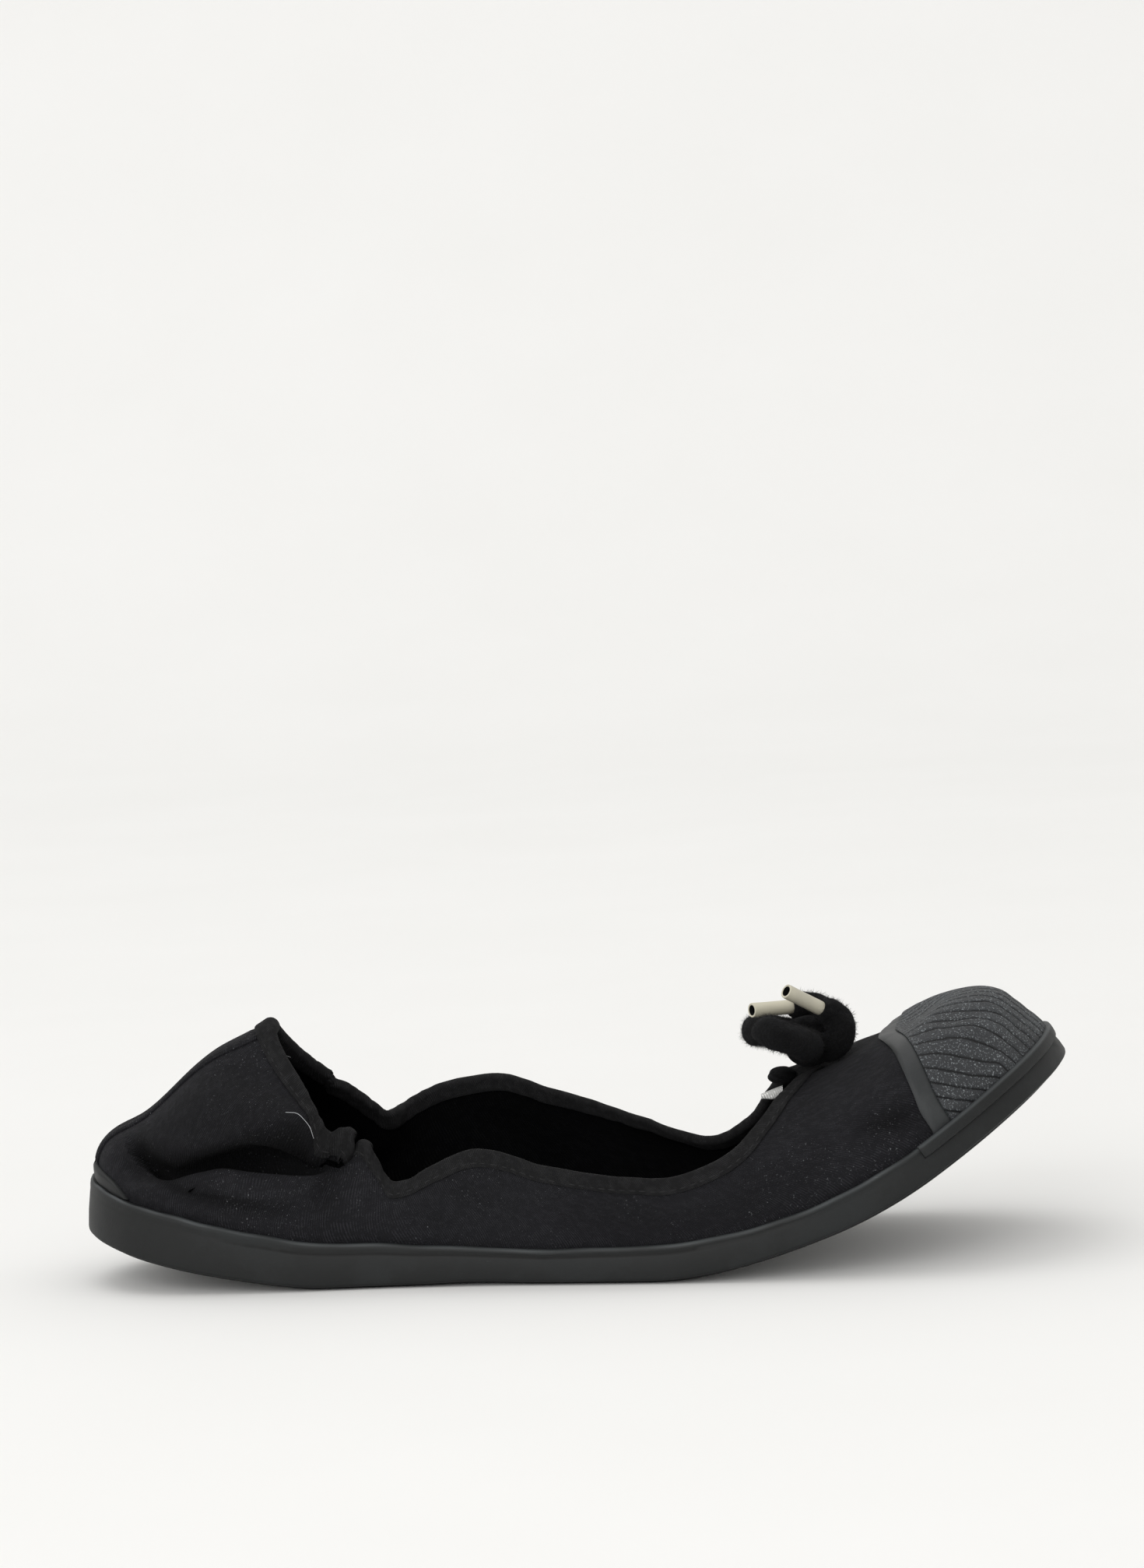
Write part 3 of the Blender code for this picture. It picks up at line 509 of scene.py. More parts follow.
def outward(turn):
    """Unit vectors out of the outline, as (along, across)."""
    step = 0.002
    run = outline(turn + step) - outline(turn - step)
    out = np.stack((run[..., 1], -run[..., 0]), axis=-1)
    return unit(out)


def bell(t):
    return np.where(np.abs(t) < 1, (1 - t * t) ** 2, 0.0)


def edge(turn, inset, up):
    """Points at a distance inside the outline and above the underside, in the sole's frame."""
    flare = FLARE * bell(ring_at(turn) / FLARE_RING) * np.minimum(up / FOXING_HEIGHT, 1.0)
    flat = outline(turn) + outward(turn) * (flare - inset)[..., None]
    return np.concatenate((flat, (up + 0 * flat[..., 0])[..., None]), axis=-1)


def foxing_top(turn):
    return read(FOXING_TOP, 1, along_of(ring_at(turn))) * FOXING_HEIGHT


def collar(turn):
    """The wall's top edge in the sole's frame, under its binding."""
    ring, side = ring_at(turn), side_at(turn)
    lateral, medial = (
        np.stack([read(rows, c, ring) for c in (1, 2, 3)], axis=-1)
        for rows in (COLLAR_LATERAL, COLLAR_MEDIAL)
    )
    at = np.where(side[..., None] < 0, lateral, medial)
    at = at * np.array((SOLE_LENGTH, BALL_WIDTH, PEAK_HEIGHT))
    at[..., 1] *= side
    at[..., 2] -= TAPE_GAP + TAPE_THICK
    return at


def fold_depth(turn, rise):
    """How far the main folds push the wall inwards."""
    ring, side = ring_at(turn), side_at(turn)
    depth = np.zeros(np.broadcast(ring, rise).shape)
    for fold_side, centre, reach, height, slant, height_reach, share in FOLDS:
        here = np.where(side == fold_side, bell((ring - centre) / reach), 0.0)
        above = rise - height - slant * (ring - centre)
        depth = depth + share * BALL_WIDTH * here * bell(above / height_reach)
    return depth


def main_wall(turn, rise):
    """The upper's outer face with its main folds: rise is 0 at its foot and 1 at the collar."""
    turn, rise = np.broadcast_arrays(np.asarray(turn, float), np.asarray(rise, float))
    inset = np.full(turn.shape, FOXING_THICK + GAP)
    foot = edge(turn, inset, np.full(turn.shape, SOLE_THICK + GAP))
    top = edge(turn, inset, foxing_top(turn) + GAP)
    ring = ring_at(turn)
    lift, bulge, forward, out, drop = (read(RIBS, c, ring)[..., None] for c in range(1, 6))
    end = collar(turn)
    height = (end[..., 2] - top[..., 2])[..., None]
    flat = outward(turn)
    away = np.concatenate((flat, np.zeros(flat.shape[:-1] + (1,))), axis=-1)
    upwards, ahead = np.array((0.0, 0.0, 1.0)), np.array((1.0, 0.0, 0.0))
    first = top + away * bulge * BALL_WIDTH + upwards * lift * height
    second = end + away * out * BALL_WIDTH
    second = second + ahead * forward * BALL_WIDTH - upwards * drop * height
    t = np.clip((rise - WALL_FOOT) / (1 - WALL_FOOT), 0, None)[..., None]
    u = 1 - t
    point = top * u**3 + first * 3 * u * u * t + second * 3 * u * t * t + end * t**3
    climb = (first - top) * u * u + (second - first) * 2 * u * t + (end - second) * t * t
    across = np.stack((-away[..., 1], away[..., 0], away[..., 2]), axis=-1)
    face = unit(np.cross(across, climb))
    point = point - face * fold_depth(turn, t[..., 0])[..., None]
    share = (rise / WALL_FOOT)[..., None]
    return place(np.where(share < 1, foot + (top - foot) * share, point))


def step_frame(surface, turn, rise, step_turn=0.003, step=0.003):
    """The outward normal and the upward direction of a surface of (turn, rise)."""
    low, high = np.maximum(rise - step, 0.0), np.minimum(rise + step, 1.0)
    up = surface(turn, high) - surface(turn, low)
    run = surface(turn + step_turn, rise) - surface(turn - step_turn, rise)
    return unit(np.cross(run, up)), unit(up)


def distance_to_route(points, route):
    """Distance to a route of straight pieces, and the share of its length at the nearest place."""
    best = np.full(points.shape[:-1], 1e9)
    share = np.zeros(points.shape[:-1])
    lengths = np.linalg.norm(np.diff(route, axis=0), axis=1)
    starts = np.concatenate(([0], np.cumsum(lengths)))
    for k, (a, b) in enumerate(zip(route, route[1:])):
        run = b - a
        t = np.clip(((points - a) @ run) / (run @ run), 0, 1)
        away = np.linalg.norm(points - (a + t[..., None] * run), axis=-1)
        nearer = away < best
        best = np.where(nearer, away, best)
        share = np.where(nearer, (starts[k] + t * lengths[k]) / starts[-1], share)
    return best, share


def smooth_places(places, count):
    """Columns of places on a smooth curve through a few."""
    keys, fine = np.linspace(0, 1, len(places)), np.linspace(0, 1, count)
    return [read(list(zip(keys, column)), 1, fine) for column in zip(*places)]


def crease_routes():
    """Each crease as a smooth route of points on the wall."""
    routes = []
    for side, width, depth, places in CREASES:
        ring, rise = smooth_places(places, 3 * len(places))
        turn = ring / 2 if side < 0 else 1 - ring / 2
        routes.append((main_wall(turn, rise), width, depth))
    return routes


CREASE_ROUTES = crease_routes()


def overhang(turn, rise, points):
    """How far the heel's flap hangs out and down over its crease, and the painted shade under and on it."""
    ring, side = ring_at(turn), side_at(turn)
    tall = np.linalg.norm(points[:, -1] - points[:, WALL_ROWS_BELOW], axis=-1)[:, None]
    t = (rise - WALL_FOOT) / (1 - WALL_FOOT)
    line, size = (
        np.where(side < 0, read(CREASE_LINE[-1], k, ring), read(CREASE_LINE[1], k, ring)) for k in (1, 2)
    )
    over = (t - line) * tall * 1.1 / size
    window = np.clip((ring - 0.05) / 0.05, 0, 1) * np.clip((0.335 - ring) / 0.07, 0, 1)
    window = window**2 * (3 - 2 * window) * np.clip((1 - t) / 0.16, 0, 1) * np.clip(t / 0.06, 0, 1)
    out, up, shade = (read(OVERHANG, k, over) * window for k in (1, 2, 3))
    return out * size, up * size, shade * np.where(side < 0, 1.0, 0.5)


def build_skin():
    """The creased wall over an even grid: its points, outward normals, upward directions and painted shade.
    """
    turn = np.arange(SKIN_RIBS) / SKIN_RIBS
    turn, rise = np.meshgrid(turn, SKIN_RISES, indexing="ij")
    points = main_wall(turn, rise)
    out, up = step_frame(main_wall, turn, rise)
    ring = ring_at(turn)
    hang_out, hang_up, shade = overhang(turn, rise, points)
    depth = np.zeros(turn.shape)
    for route, width, most in CREASE_ROUTES:
        away, share = distance_to_route(points, route)
        depth = depth + most * np.exp(-((away / width) ** 2)) * np.sin(pi * share) ** 0.7
    # Painted shade: the crease troughs are darkened in colour by their depth
    shade = np.maximum(shade, np.clip(depth / 0.0021, 0, 0.75))
    # Gathers: the elastic draws the cloth into short ripples under the collar
    waves = np.sin(ring * 210 + 3 * np.sin(ring * 23)) + 0.6 * np.sin(ring * 333 + 1.3)
    strength = bell((ring - 0.34) / 0.32) + 0.35
    depth = depth + 0.00010 * waves * strength * np.clip((rise - 0.72) / 0.28, 0, 1) ** 2
    depth = depth * np.clip((rise - WALL_FOOT) / 0.05, 0, 1)
    t = (rise - WALL_FOOT) / (1 - WALL_FOOT)
    hang_out = hang_out + read(BACK_SWELL, 1, t) * bell(ring / 0.20)
    hang_out = hang_out + read(TOE_SWELL, 1, rise) * bell((ring - 1) / 0.30)
    lap = np.clip((t - 0.55) / 0.45, 0, 1) ** 1.5
    lap = np.where(side_at(turn) < 0, lap, 0.0)
    ahead, lap_out, lap_up = (read(OVERLAP, k, ring) * lap for k in (1, 2, 3))
    hang_out, hang_up = hang_out + lap_out, hang_up + lap_up
    forward = unit(np.roll(points, -1, axis=0) - np.roll(points, 1, axis=0))
    points = points + out * (hang_out - depth)[..., None] + up * hang_up[..., None]
    points = points + forward * ahead[..., None]
    run = np.roll(points, -1, axis=0) - np.roll(points, 1, axis=0)
    climb = unit(np.gradient(points, axis=1))
    out = unit(np.cross(run, climb))
    return np.concatenate((points, out, climb, shade[..., None]), axis=-1)


SKIN_RIBS = 1400
WALL_ROWS_BELOW = 4
SKIN_RISES = np.concatenate((np.linspace(0, WALL_FOOT, 5), np.linspace(WALL_FOOT, 1, 141)[1:]))
SKIN = build_skin()


def skin_at(turn, rise):
    """The skin's rows at turns and rises."""
    at = (turn % 1.0) * SKIN_RIBS
    k = at.astype(int) % SKIN_RIBS
    j = np.clip(np.searchsorted(SKIN_RISES, rise, side="right") - 1, 0, len(SKIN_RISES) - 2)
    f = (at - np.floor(at))[..., None]
    g = ((rise - SKIN_RISES[j]) / (SKIN_RISES[j + 1] - SKIN_RISES[j]))[..., None]
    after = (k + 1) % SKIN_RIBS
    low = SKIN[k, j] * (1 - f) + SKIN[after, j] * f
    high = SKIN[k, j + 1] * (1 - f) + SKIN[after, j + 1] * f
    return low * (1 - g) + high * g


def off_wall(turn, rise, offset=0.0, beyond=0.0):
    """Points off the creased wall by an offset, and beyond it up past the collar's edge."""
    turn, rise, offset, beyond = np.broadcast_arrays(turn, rise, offset, beyond)
    here = skin_at(turn, rise)
    return here[..., :3] + here[..., 3:6] * offset[..., None] + here[..., 6:9] * beyond[..., None]


def run_along(points):
    """Distances along a line of points."""
    return np.concatenate(([0], np.cumsum(np.linalg.norm(np.diff(points, axis=0), axis=1))))


def run_up(grid):
    """Distances along each row of a grid of points."""
    steps = np.linalg.norm(np.diff(grid, axis=1), axis=-1)
    return np.concatenate((np.zeros((len(grid), 1)), np.cumsum(steps, axis=1)), axis=1)


def from_ends(count):
    """Steps from the nearer end of a run."""
    return np.minimum(np.arange(count), np.arange(count)[::-1])


def rise_below_collar(turn, depth):
    """The rise at a distance down from the collar's edge."""
    rises = np.linspace(0.55, 1.0, 91)
    run = run_up(main_wall(turn[:, None], rises[None, :]))
    left = run[:, -1:] - run
    return np.array([np.interp(-depth, -row, rises) for row in left])


def add_piece(name, mesh, finish, slot, *nodes):
    """Puts a finished mesh into the scene as a piece that stands for its solids."""
    piece = bpy.data.objects.new(name, mesh)
    bpy.context.scene.collection.objects.link(piece)
    if finish is not None and not mesh.materials:
        mesh.materials.append(finish)
    if nodes:
        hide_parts(*nodes)
    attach(piece, "root")
    return piece


def grid_mesh(
    name, grid, uv=None, loop_rows=False, loop_columns=False,
    caps=False, closed=False, paint=None, fields=(),
):
    """A smooth mesh over rows and columns of points, with a UV map in metres.

    The map is given, or worked out from the points where uv is "even". Its ends are capped by
    a face each (caps) or closed after its doubles are merged (closed).
    """
    rows, columns = grid.shape[:2]
    r = np.arange(rows if loop_rows else rows - 1)
    c = np.arange(columns if loop_columns else columns - 1)
    r, c = (a.ravel() for a in np.meshgrid(r, c, indexing="ij"))
    r2, c2 = r + 1, c + 1
    corners = [(r, c), (r2, c), (r2, c2), (r, c2)]
    index = np.stack([(a % rows) * columns + b % columns for a, b in corners], axis=1)
    faces = [list(face) for face in index.tolist()]
    if caps:
        faces.append(list(range(columns)))
        faces.append([(rows - 1) * columns + k for k in range(columns)])
    mesh = bpy.data.meshes.new(name)
    mesh.from_pydata(grid.reshape(-1, 3).tolist(), [], faces)
    if uv is not None:
        layer = mesh.uv_layers.new(name="cloth")
        around, up = even_uv(grid, loop_rows, loop_columns) if uv == "even" else uv
        values = np.stack([np.stack((around[a, b], up[a, b]), axis=1) for a, b in corners], axis=1)
        flat = values.reshape(-1, 2)
        full = np.zeros((len(mesh.loops), 2))
        full[: len(flat)] = flat
        layer.data.foreach_set("uv", full.ravel())
    if paint is not None:
        mesh.polygons.foreach_set("material_index", paint[c])
    for label, values in fields:
        layer = mesh.attributes.new(label, "FLOAT", "POINT")
        layer.data.foreach_set("value", np.broadcast_to(values, grid.shape[:2]).ravel())
    tidy_mesh(mesh, closed)
    return mesh


def tidy_mesh(mesh, closed):
    """Merges doubles, closes open ends if asked, and turns every face outwards."""
    work = bmesh.new()
    work.from_mesh(mesh)
    bmesh.ops.remove_doubles(work, verts=work.verts, dist=MERGE_DISTANCE)
    if closed:
        bmesh.ops.holes_fill(work, edges=[e for e in work.edges if e.is_boundary], sides=0)
    bmesh.ops.recalc_face_normals(work, faces=work.faces)
    work.to_mesh(mesh)
    work.free()
    mesh.shade_smooth()
    mesh.set_sharp_from_angle(angle=SHARP_ANGLE)


def even_uv(grid, loop_rows=False, loop_columns=False):
    """Distances along rows and columns of a grid of points, for a UV map in metres."""
    rows = np.concatenate((grid, grid[:1])) if loop_rows else grid
    full = np.concatenate((rows, rows[:, :1]), axis=1) if loop_columns else rows
    middle = full[:, full.shape[1] // 3]
    return np.repeat(run_along(middle)[:, None], full.shape[1], axis=1), run_up(full)


def band_section(turn, section):
    """A closed run of rings from a section of (inset, up) arrays, placed in the shoe."""
    return np.stack([place(edge(turn, inset, up)) for inset, up in section], axis=1)


# Materials


def feed(tree, slot, value):
    """Links a socket to an input, or sets the input's value."""
    if isinstance(value, bpy.types.NodeSocket):
        tree.links.new(value, slot)
    elif value is not None:
        slot.default_value = value


def shader_group(name, outputs, **values):
    """A shader node group over a Vector: its tree, what it is given and what it has to fill."""
    tree = bpy.data.node_groups.new(name, "ShaderNodeTree")
    sockets = tree.interface
    sockets.new_socket(name="Vector", in_out="INPUT", socket_type="NodeSocketVector")
    for label, value in values.items():
        made = sockets.new_socket(name=label, in_out="INPUT", socket_type="NodeSocketFloat")
        made.default_value = value
    for label in outputs:
        sockets.new_socket(name=label, in_out="OUTPUT", socket_type="NodeSocketFloat")
    return tree, tree.nodes.new("NodeGroupInput").outputs, tree.nodes.new("NodeGroupOutput").inputs


def math_node(tree, operation, first, second=None):
    node = tree.nodes.new("ShaderNodeMath")
    node.operation = operation
    for slot, value in zip(node.inputs, (first, second)):
        feed(tree, slot, value)
    return node.outputs[0]


def times(tree, first, second):
    return math_node(tree, "MULTIPLY", first, second)


def plus(tree, first, second):
    return math_node(tree, "ADD", first, second)


def minus(tree, first, second):
    return math_node(tree, "SUBTRACT", first, second)


def noise_node(tree, vector, scale, detail=3.0, roughness=0.55):
    node = tree.nodes.new("ShaderNodeTexNoise")
    values = {"Vector": vector, "Scale": scale, "Detail": detail, "Roughness": roughness}
    for label, value in values.items():
        feed(tree, node.inputs[label], value)
    return node.outputs["Fac"]


def range_node(tree, value, low, high, start=0.0, end=1.0):
    node = tree.nodes.new("ShaderNodeMapRange")
    node.interpolation_type = "SMOOTHSTEP"
    values = {"Value": value, "From Min": low, "From Max": high, "To Min": start, "To Max": end}
    for label, amount in values.items():
        feed(tree, node.inputs[label], amount)
    return node.outputs["Result"]


def blend_node(tree, factor, first, second):
    """A mix of two colours, each a socket or three numbers."""
    node = tree.nodes.new("ShaderNodeMix")
    node.data_type = "RGBA"
    feed(tree, node.inputs["Factor"], factor)
    for slot, value in ((6, first), (7, second)):
        made = isinstance(value, bpy.types.NodeSocket)
        feed(tree, node.inputs[slot], value if made else (*value, 1.0)[:4])
    return node.outputs[2]


def split_vector(tree, vector):
    node = tree.nodes.new("ShaderNodeSeparateXYZ")
    tree.links.new(vector, node.inputs[0])
    return node.outputs["X"], node.outputs["Y"]


def build_twill():
    """Twill weave on a UV map in metres: its threads' height and a mask of their tops."""
    tree, given, result = shader_group("Twill weave", ("Height", "Tops"), Pitch=0.0006)
    vector, pitch = given["Vector"], given["Pitch"]
    x, y = split_vector(tree, vector)
    wander = times(tree, noise_node(tree, vector, 150.0, 3.0, 0.6), 0.0006)
    across = plus(tree, plus(tree, x, times(tree, y, 0.30)), wander)
    threads = math_node(tree, "DIVIDE", across, pitch)
    warp = math_node(tree, "SINE", times(tree, threads, tau))
    picks = times(tree, math_node(tree, "DIVIDE", y, pitch), 1.6)
    picks = plus(tree, picks, times(tree, threads, 0.5))
    weft = math_node(tree, "SINE", times(tree, picks, tau))
    both = plus(tree, warp, times(tree, weft, 0.45))
    both = times(tree, plus(tree, both, 1.45), 0.345)
    slubs = noise_node(tree, vector, 900.0, 3.0)
    patchiness = range_node(tree, noise_node(tree, vector, 420.0, 3.0, 0.6), 0.35, 0.7)
    both = times(tree, both, plus(tree, patchiness, 0.35))
    height = plus(tree, both, times(tree, slubs, 0.9))
    feed(tree, result["Height"], height)
    feed(tree, result["Tops"], range_node(tree, height, 0.70, 1.45))
    return tree


def build_lint():
    """Lint: fine pale specks that gather in large patches."""
    tree, given, result = shader_group("Lint", ("Specks",), Size=1600.0, Amount=0.5)
    vector = given["Vector"]
    fine = noise_node(tree, vector, given["Size"], 4.0, 0.7)
    low = minus(tree, 0.74, times(tree, given["Amount"], 0.14))
    specks = range_node(tree, fine, low, plus(tree, low, 0.09))
    patches = range_node(tree, noise_node(tree, vector, 62.0, 4.0), 0.40, 0.68)
    feed(tree, result["Specks"], times(tree, specks, patches))
    return tree


def build_grain():
    """Moulded rubber's fine grain and slow waves: their height and a mask of the grain's tops."""
    tree, given, result = shader_group("Rubber grain", ("Height", "Tops"), Size=1800.0, Waves=0.5)
    vector = given["Vector"]
    fine = noise_node(tree, vector, given["Size"], 3.0, 0.6)
    slow = times(tree, noise_node(tree, vector, 130.0, 2.0), given["Waves"])
    feed(tree, result["Height"], plus(tree, fine, slow))
    feed(tree, result["Tops"], range_node(tree, fine, 0.54, 0.72))
    return tree


def build_grooves():
    """Lines along a UV map in metres: a mask that is 1 in the grooves."""
    tree, given, result = shader_group("Grooves", ("Lines",), Pitch=0.003, Width=0.0003)
    vector, pitch = given["Vector"], given["Pitch"]
    wander = times(tree, minus(tree, noise_node(tree, vector, 220.0, 2.0), 0.5), 0.0004)
    across = plus(tree, split_vector(tree, vector)[0], wander)
    across = math_node(tree, "DIVIDE", across, pitch)
    away = minus(tree, math_node(tree, "FRACT", across), 0.5)
    away = times(tree, math_node(tree, "ABSOLUTE", away), pitch)
    feed(tree, result["Lines"], range_node(tree, away, 0.0, given["Width"], 1.0, 0.0))
    return tree


def build_scuffs():
    """Handling marks: cloudy dust and short drawn-out scratches."""
    tree, given, result = shader_group("Scuffs", ("Dust", "Scratches"), Amount=0.5)
    vector, amount = given["Vector"], given["Amount"]
    cloud = range_node(tree, noise_node(tree, vector, 55.0, 6.0, 0.65), 0.45, 0.75)
    feed(tree, result["Dust"], times(tree, cloud, amount))
    stretch = tree.nodes.new("ShaderNodeMapping")
    values = {"Vector": vector, "Scale": (1.0, 1.0, 7.0), "Rotation": (0.2, 0.5, 0.1)}
    for label, value in values.items():
        feed(tree, stretch.inputs[label], value)
    lines = range_node(tree, noise_node(tree, stretch.outputs[0], 210.0, 5.0, 0.7), 0.66, 0.76)
    places = range_node(tree, noise_node(tree, vector, 40.0, 2.0), 0.52, 0.66)
    feed(tree, result["Scratches"], times(tree, times(tree, lines, places), amount))
    return tree


def use_group(tree, group, vector, **values):
    """The outputs of a shared effect that is put into a material."""
    node = tree.nodes.new("ShaderNodeGroup")
    node.node_tree = group
    node.label = group.name
    for label, value in dict(values, Vector=vector).items():
        feed(tree, node.inputs[label], value)
    return node.outputs


def new_finish(name):
    """A material, its node tree to fill, and its Principled shader."""
    made = bpy.data.materials.new(name)
    made.use_nodes = True
    return made, made.node_tree, made.node_tree.nodes["Principled BSDF"]


def fill_shader(tree, shader, values):
    for label, value in values.items():
        feed(tree, shader.inputs[label], value)


def bump(tree, shader, height, strength, distance):
    node = tree.nodes.new("ShaderNodeBump")
    for label, value in {"Strength": strength, "Distance": distance, "Height": height}.items():
        feed(tree, node.inputs[label], value)
    tree.links.new(node.outputs["Normal"], shader.inputs["Normal"])


def coordinates(tree, kind):
    if kind == "cloth":
        node = tree.nodes.new("ShaderNodeUVMap")
        node.uv_map = "cloth"
        return node.outputs["UV"]
    return tree.nodes.new("ShaderNodeTexCoord").outputs["Object"]


def attribute(tree, name):
    node = tree.nodes.new("ShaderNodeAttribute")
    node.attribute_name = name
    return node.outputs["Fac"]


def cloth_finish(name, colour, pale, pitch, depth, lint, shine):
    """Woven cotton: twill relief, worn thread tops and lint, and painted shade where the piece is recessed
    or creased.
    """
    made, tree, shader = new_finish(name)
    uv, solid = coordinates(tree, "cloth"), coordinates(tree, "object")
    weave = use_group(tree, GROUPS["twill"], uv, Pitch=pitch)
    fluff = use_group(tree, GROUPS["lint"], solid, Size=2300.0, Amount=lint)
    shade = range_node(tree, noise_node(tree, solid, 34.0, 4.0), 0.3, 0.7)
    colour = Vector(colour)
    tone = blend_node(tree, shade, colour * 0.86, colour * 1.16)
    tone = blend_node(tree, times(tree, weave["Tops"], 0.55), tone, colour * 3.4)
    # Painted shade: the piece's shade attribute darkens its colour in recesses and creases
    tone = blend_node(tree, attribute(tree, "painted_shade"), tone, colour * 0.22)
    tone = blend_node(tree, times(tree, fluff["Specks"], 0.7), tone, pale)
    rough = range_node(tree, weave["Tops"], 0.0, 1.0, 0.96, 0.84)
    fill_shader(tree, shader, {"Base Color": tone, "Roughness": rough, "Specular IOR Level": shine})
    bump(tree, shader, weave["Height"], 0.75, depth)
    return made


def rubber_finish(name, colour, pale, rough, grain, depth, dust, specks=0.0, pitch=0.0):
    """Moulded rubber: grain, dust, scratches, a painted highlight along top edges, painted shade in
    recesses, and grooves darkened with painted shade if it has a pitch.
    """
    made, tree, shader = new_finish(name)
    solid = coordinates(tree, "object")
    skin = use_group(tree, GROUPS["grain"], solid, Size=grain, Waves=0.6)
    marks = use_group(tree, GROUPS["scuffs"], solid, Amount=dust)
    shade = range_node(tree, noise_node(tree, solid, 48.0, 3.0), 0.35, 0.65)
    colour = Vector(colour)
    tone = blend_node(tree, shade, colour * 0.90, colour * 1.12)
    if specks:
        tone = blend_node(tree, times(tree, skin["Tops"], specks), tone, pale)
    # Dust and scratches are marks on the rubber; the last two masks are a painted highlight along top edges
    # and painted shade in recesses and under edges
    for mask, mixed, amount in (
        (marks["Dust"], pale, 0.22),
        (marks["Scratches"], pale, 0.6),
        (attribute(tree, "edge"), pale, 0.5),
        (attribute(tree, "painted_shade"), colour * 0.2, 0.85),
    ):
        tone = blend_node(tree, times(tree, mask, amount), tone, mixed)
    height = skin["Height"]
    if pitch:
        uv = coordinates(tree, "cloth")
        lines = use_group(tree, GROUPS["grooves"], uv, Pitch=pitch, Width=0.00042)["Lines"]
        # Painted shade: the grooves are darkened in colour
        tone = blend_node(tree, lines, tone, colour * 0.12)
        height = minus(tree, height, lines)
    rougher = range_node(tree, marks["Dust"], 0.0, 0.6, rough, min(rough + 0.22, 1.0))
    fill_shader(tree, shader, {"Base Color": tone, "Roughness": rougher, "Specular IOR Level": 0.34})
    bump(tree, shader, height, 0.6, depth)
    return made


def cord_finish(name, colour):
    """Fluffy braided cord: a felted surface with a faint sheen."""
    made, tree, shader = new_finish(name)
    solid = coordinates(tree, "object")
    fluff = noise_node(tree, solid, 1500.0, 5.0, 0.75)
    lumps = noise_node(tree, solid, 420.0, 3.0, 0.6)
    colour = Vector(colour)
    values = {
        "Base Color": blend_node(tree, range_node(tree, fluff, 0.40, 0.72), colour * 0.7, colour * 2.1),
        "Roughness": range_node(tree, lumps, 0.3, 0.7, 0.92, 1.0),
        "Specular IOR Level": 0.15,
        "Sheen Weight": 0.04,
        "Sheen Roughness": 0.5,
        "Sheen Tint": (0.70, 0.72, 0.80, 1.0),
    }
    fill_shader(tree, shader, values)
    bump(tree, shader, plus(tree, fluff, times(tree, lumps, 1.5)), 0.9, 0.0005)
    return made


def plastic_finish(name, colour, shadow):
    """Dull moulded plastic, a little yellowed and handled."""
    made, tree, shader = new_finish(name)
    solid = coordinates(tree, "object")
    marks = use_group(tree, GROUPS["scuffs"], solid, Amount=0.6)
    tone = blend_node(tree, marks["Dust"], colour, shadow)
    ripple = noise_node(tree, solid, 420.0, 2.0)
    rough = range_node(tree, ripple, 0.3, 0.7, 0.38, 0.55)
    fill_shader(tree, shader, {"Base Color": tone, "Roughness": rough})
    bump(tree, shader, ripple, 0.25, 0.0002)
    return made


def plain_finish(name, colour, rough):
    made, tree, shader = new_finish(name)
    fill_shader(tree, shader, {"Base Color": (*colour, 1.0), "Roughness": rough})
    return made


GROUPS = {}
FINISHES = {}
TREES = {}


# Geometry node trees


def node_tree(name, **values):
    """A geometry node group with Geometry in and out, and numbers and a finish as inputs."""
    tree = bpy.data.node_groups.new(name, "GeometryNodeTree")
    tree.is_modifier = True
    sockets = tree.interface
    sockets.new_socket(name="Geometry", in_out="INPUT", socket_type="NodeSocketGeometry")
    for label, value in values.items():
        kind = "NodeSocketInt" if isinstance(value, int) else "NodeSocketFloat"
        sockets.new_socket(name=label, in_out="INPUT", socket_type=kind).default_value = value
    sockets.new_socket(name="Finish", in_out="INPUT", socket_type="NodeSocketMaterial")
    sockets.new_socket(name="Geometry", in_out="OUTPUT", socket_type="NodeSocketGeometry")
    return tree, tree.nodes.new("NodeGroupInput"), tree.nodes.new("NodeGroupOutput")


def finish_tree(tree, start, end, instances):
    """Ends a tree in Realize Instances and Set Material."""
    real = tree.nodes.new("GeometryNodeRealizeInstances")
    paint = tree.nodes.new("GeometryNodeSetMaterial")
    tree.links.new(instances, real.inputs[0])
    tree.links.new(real.outputs[0], paint.inputs["Geometry"])
    tree.links.new(start.outputs["Finish"], paint.inputs["Material"])
    tree.links.new(paint.outputs[0], end.inputs[0])


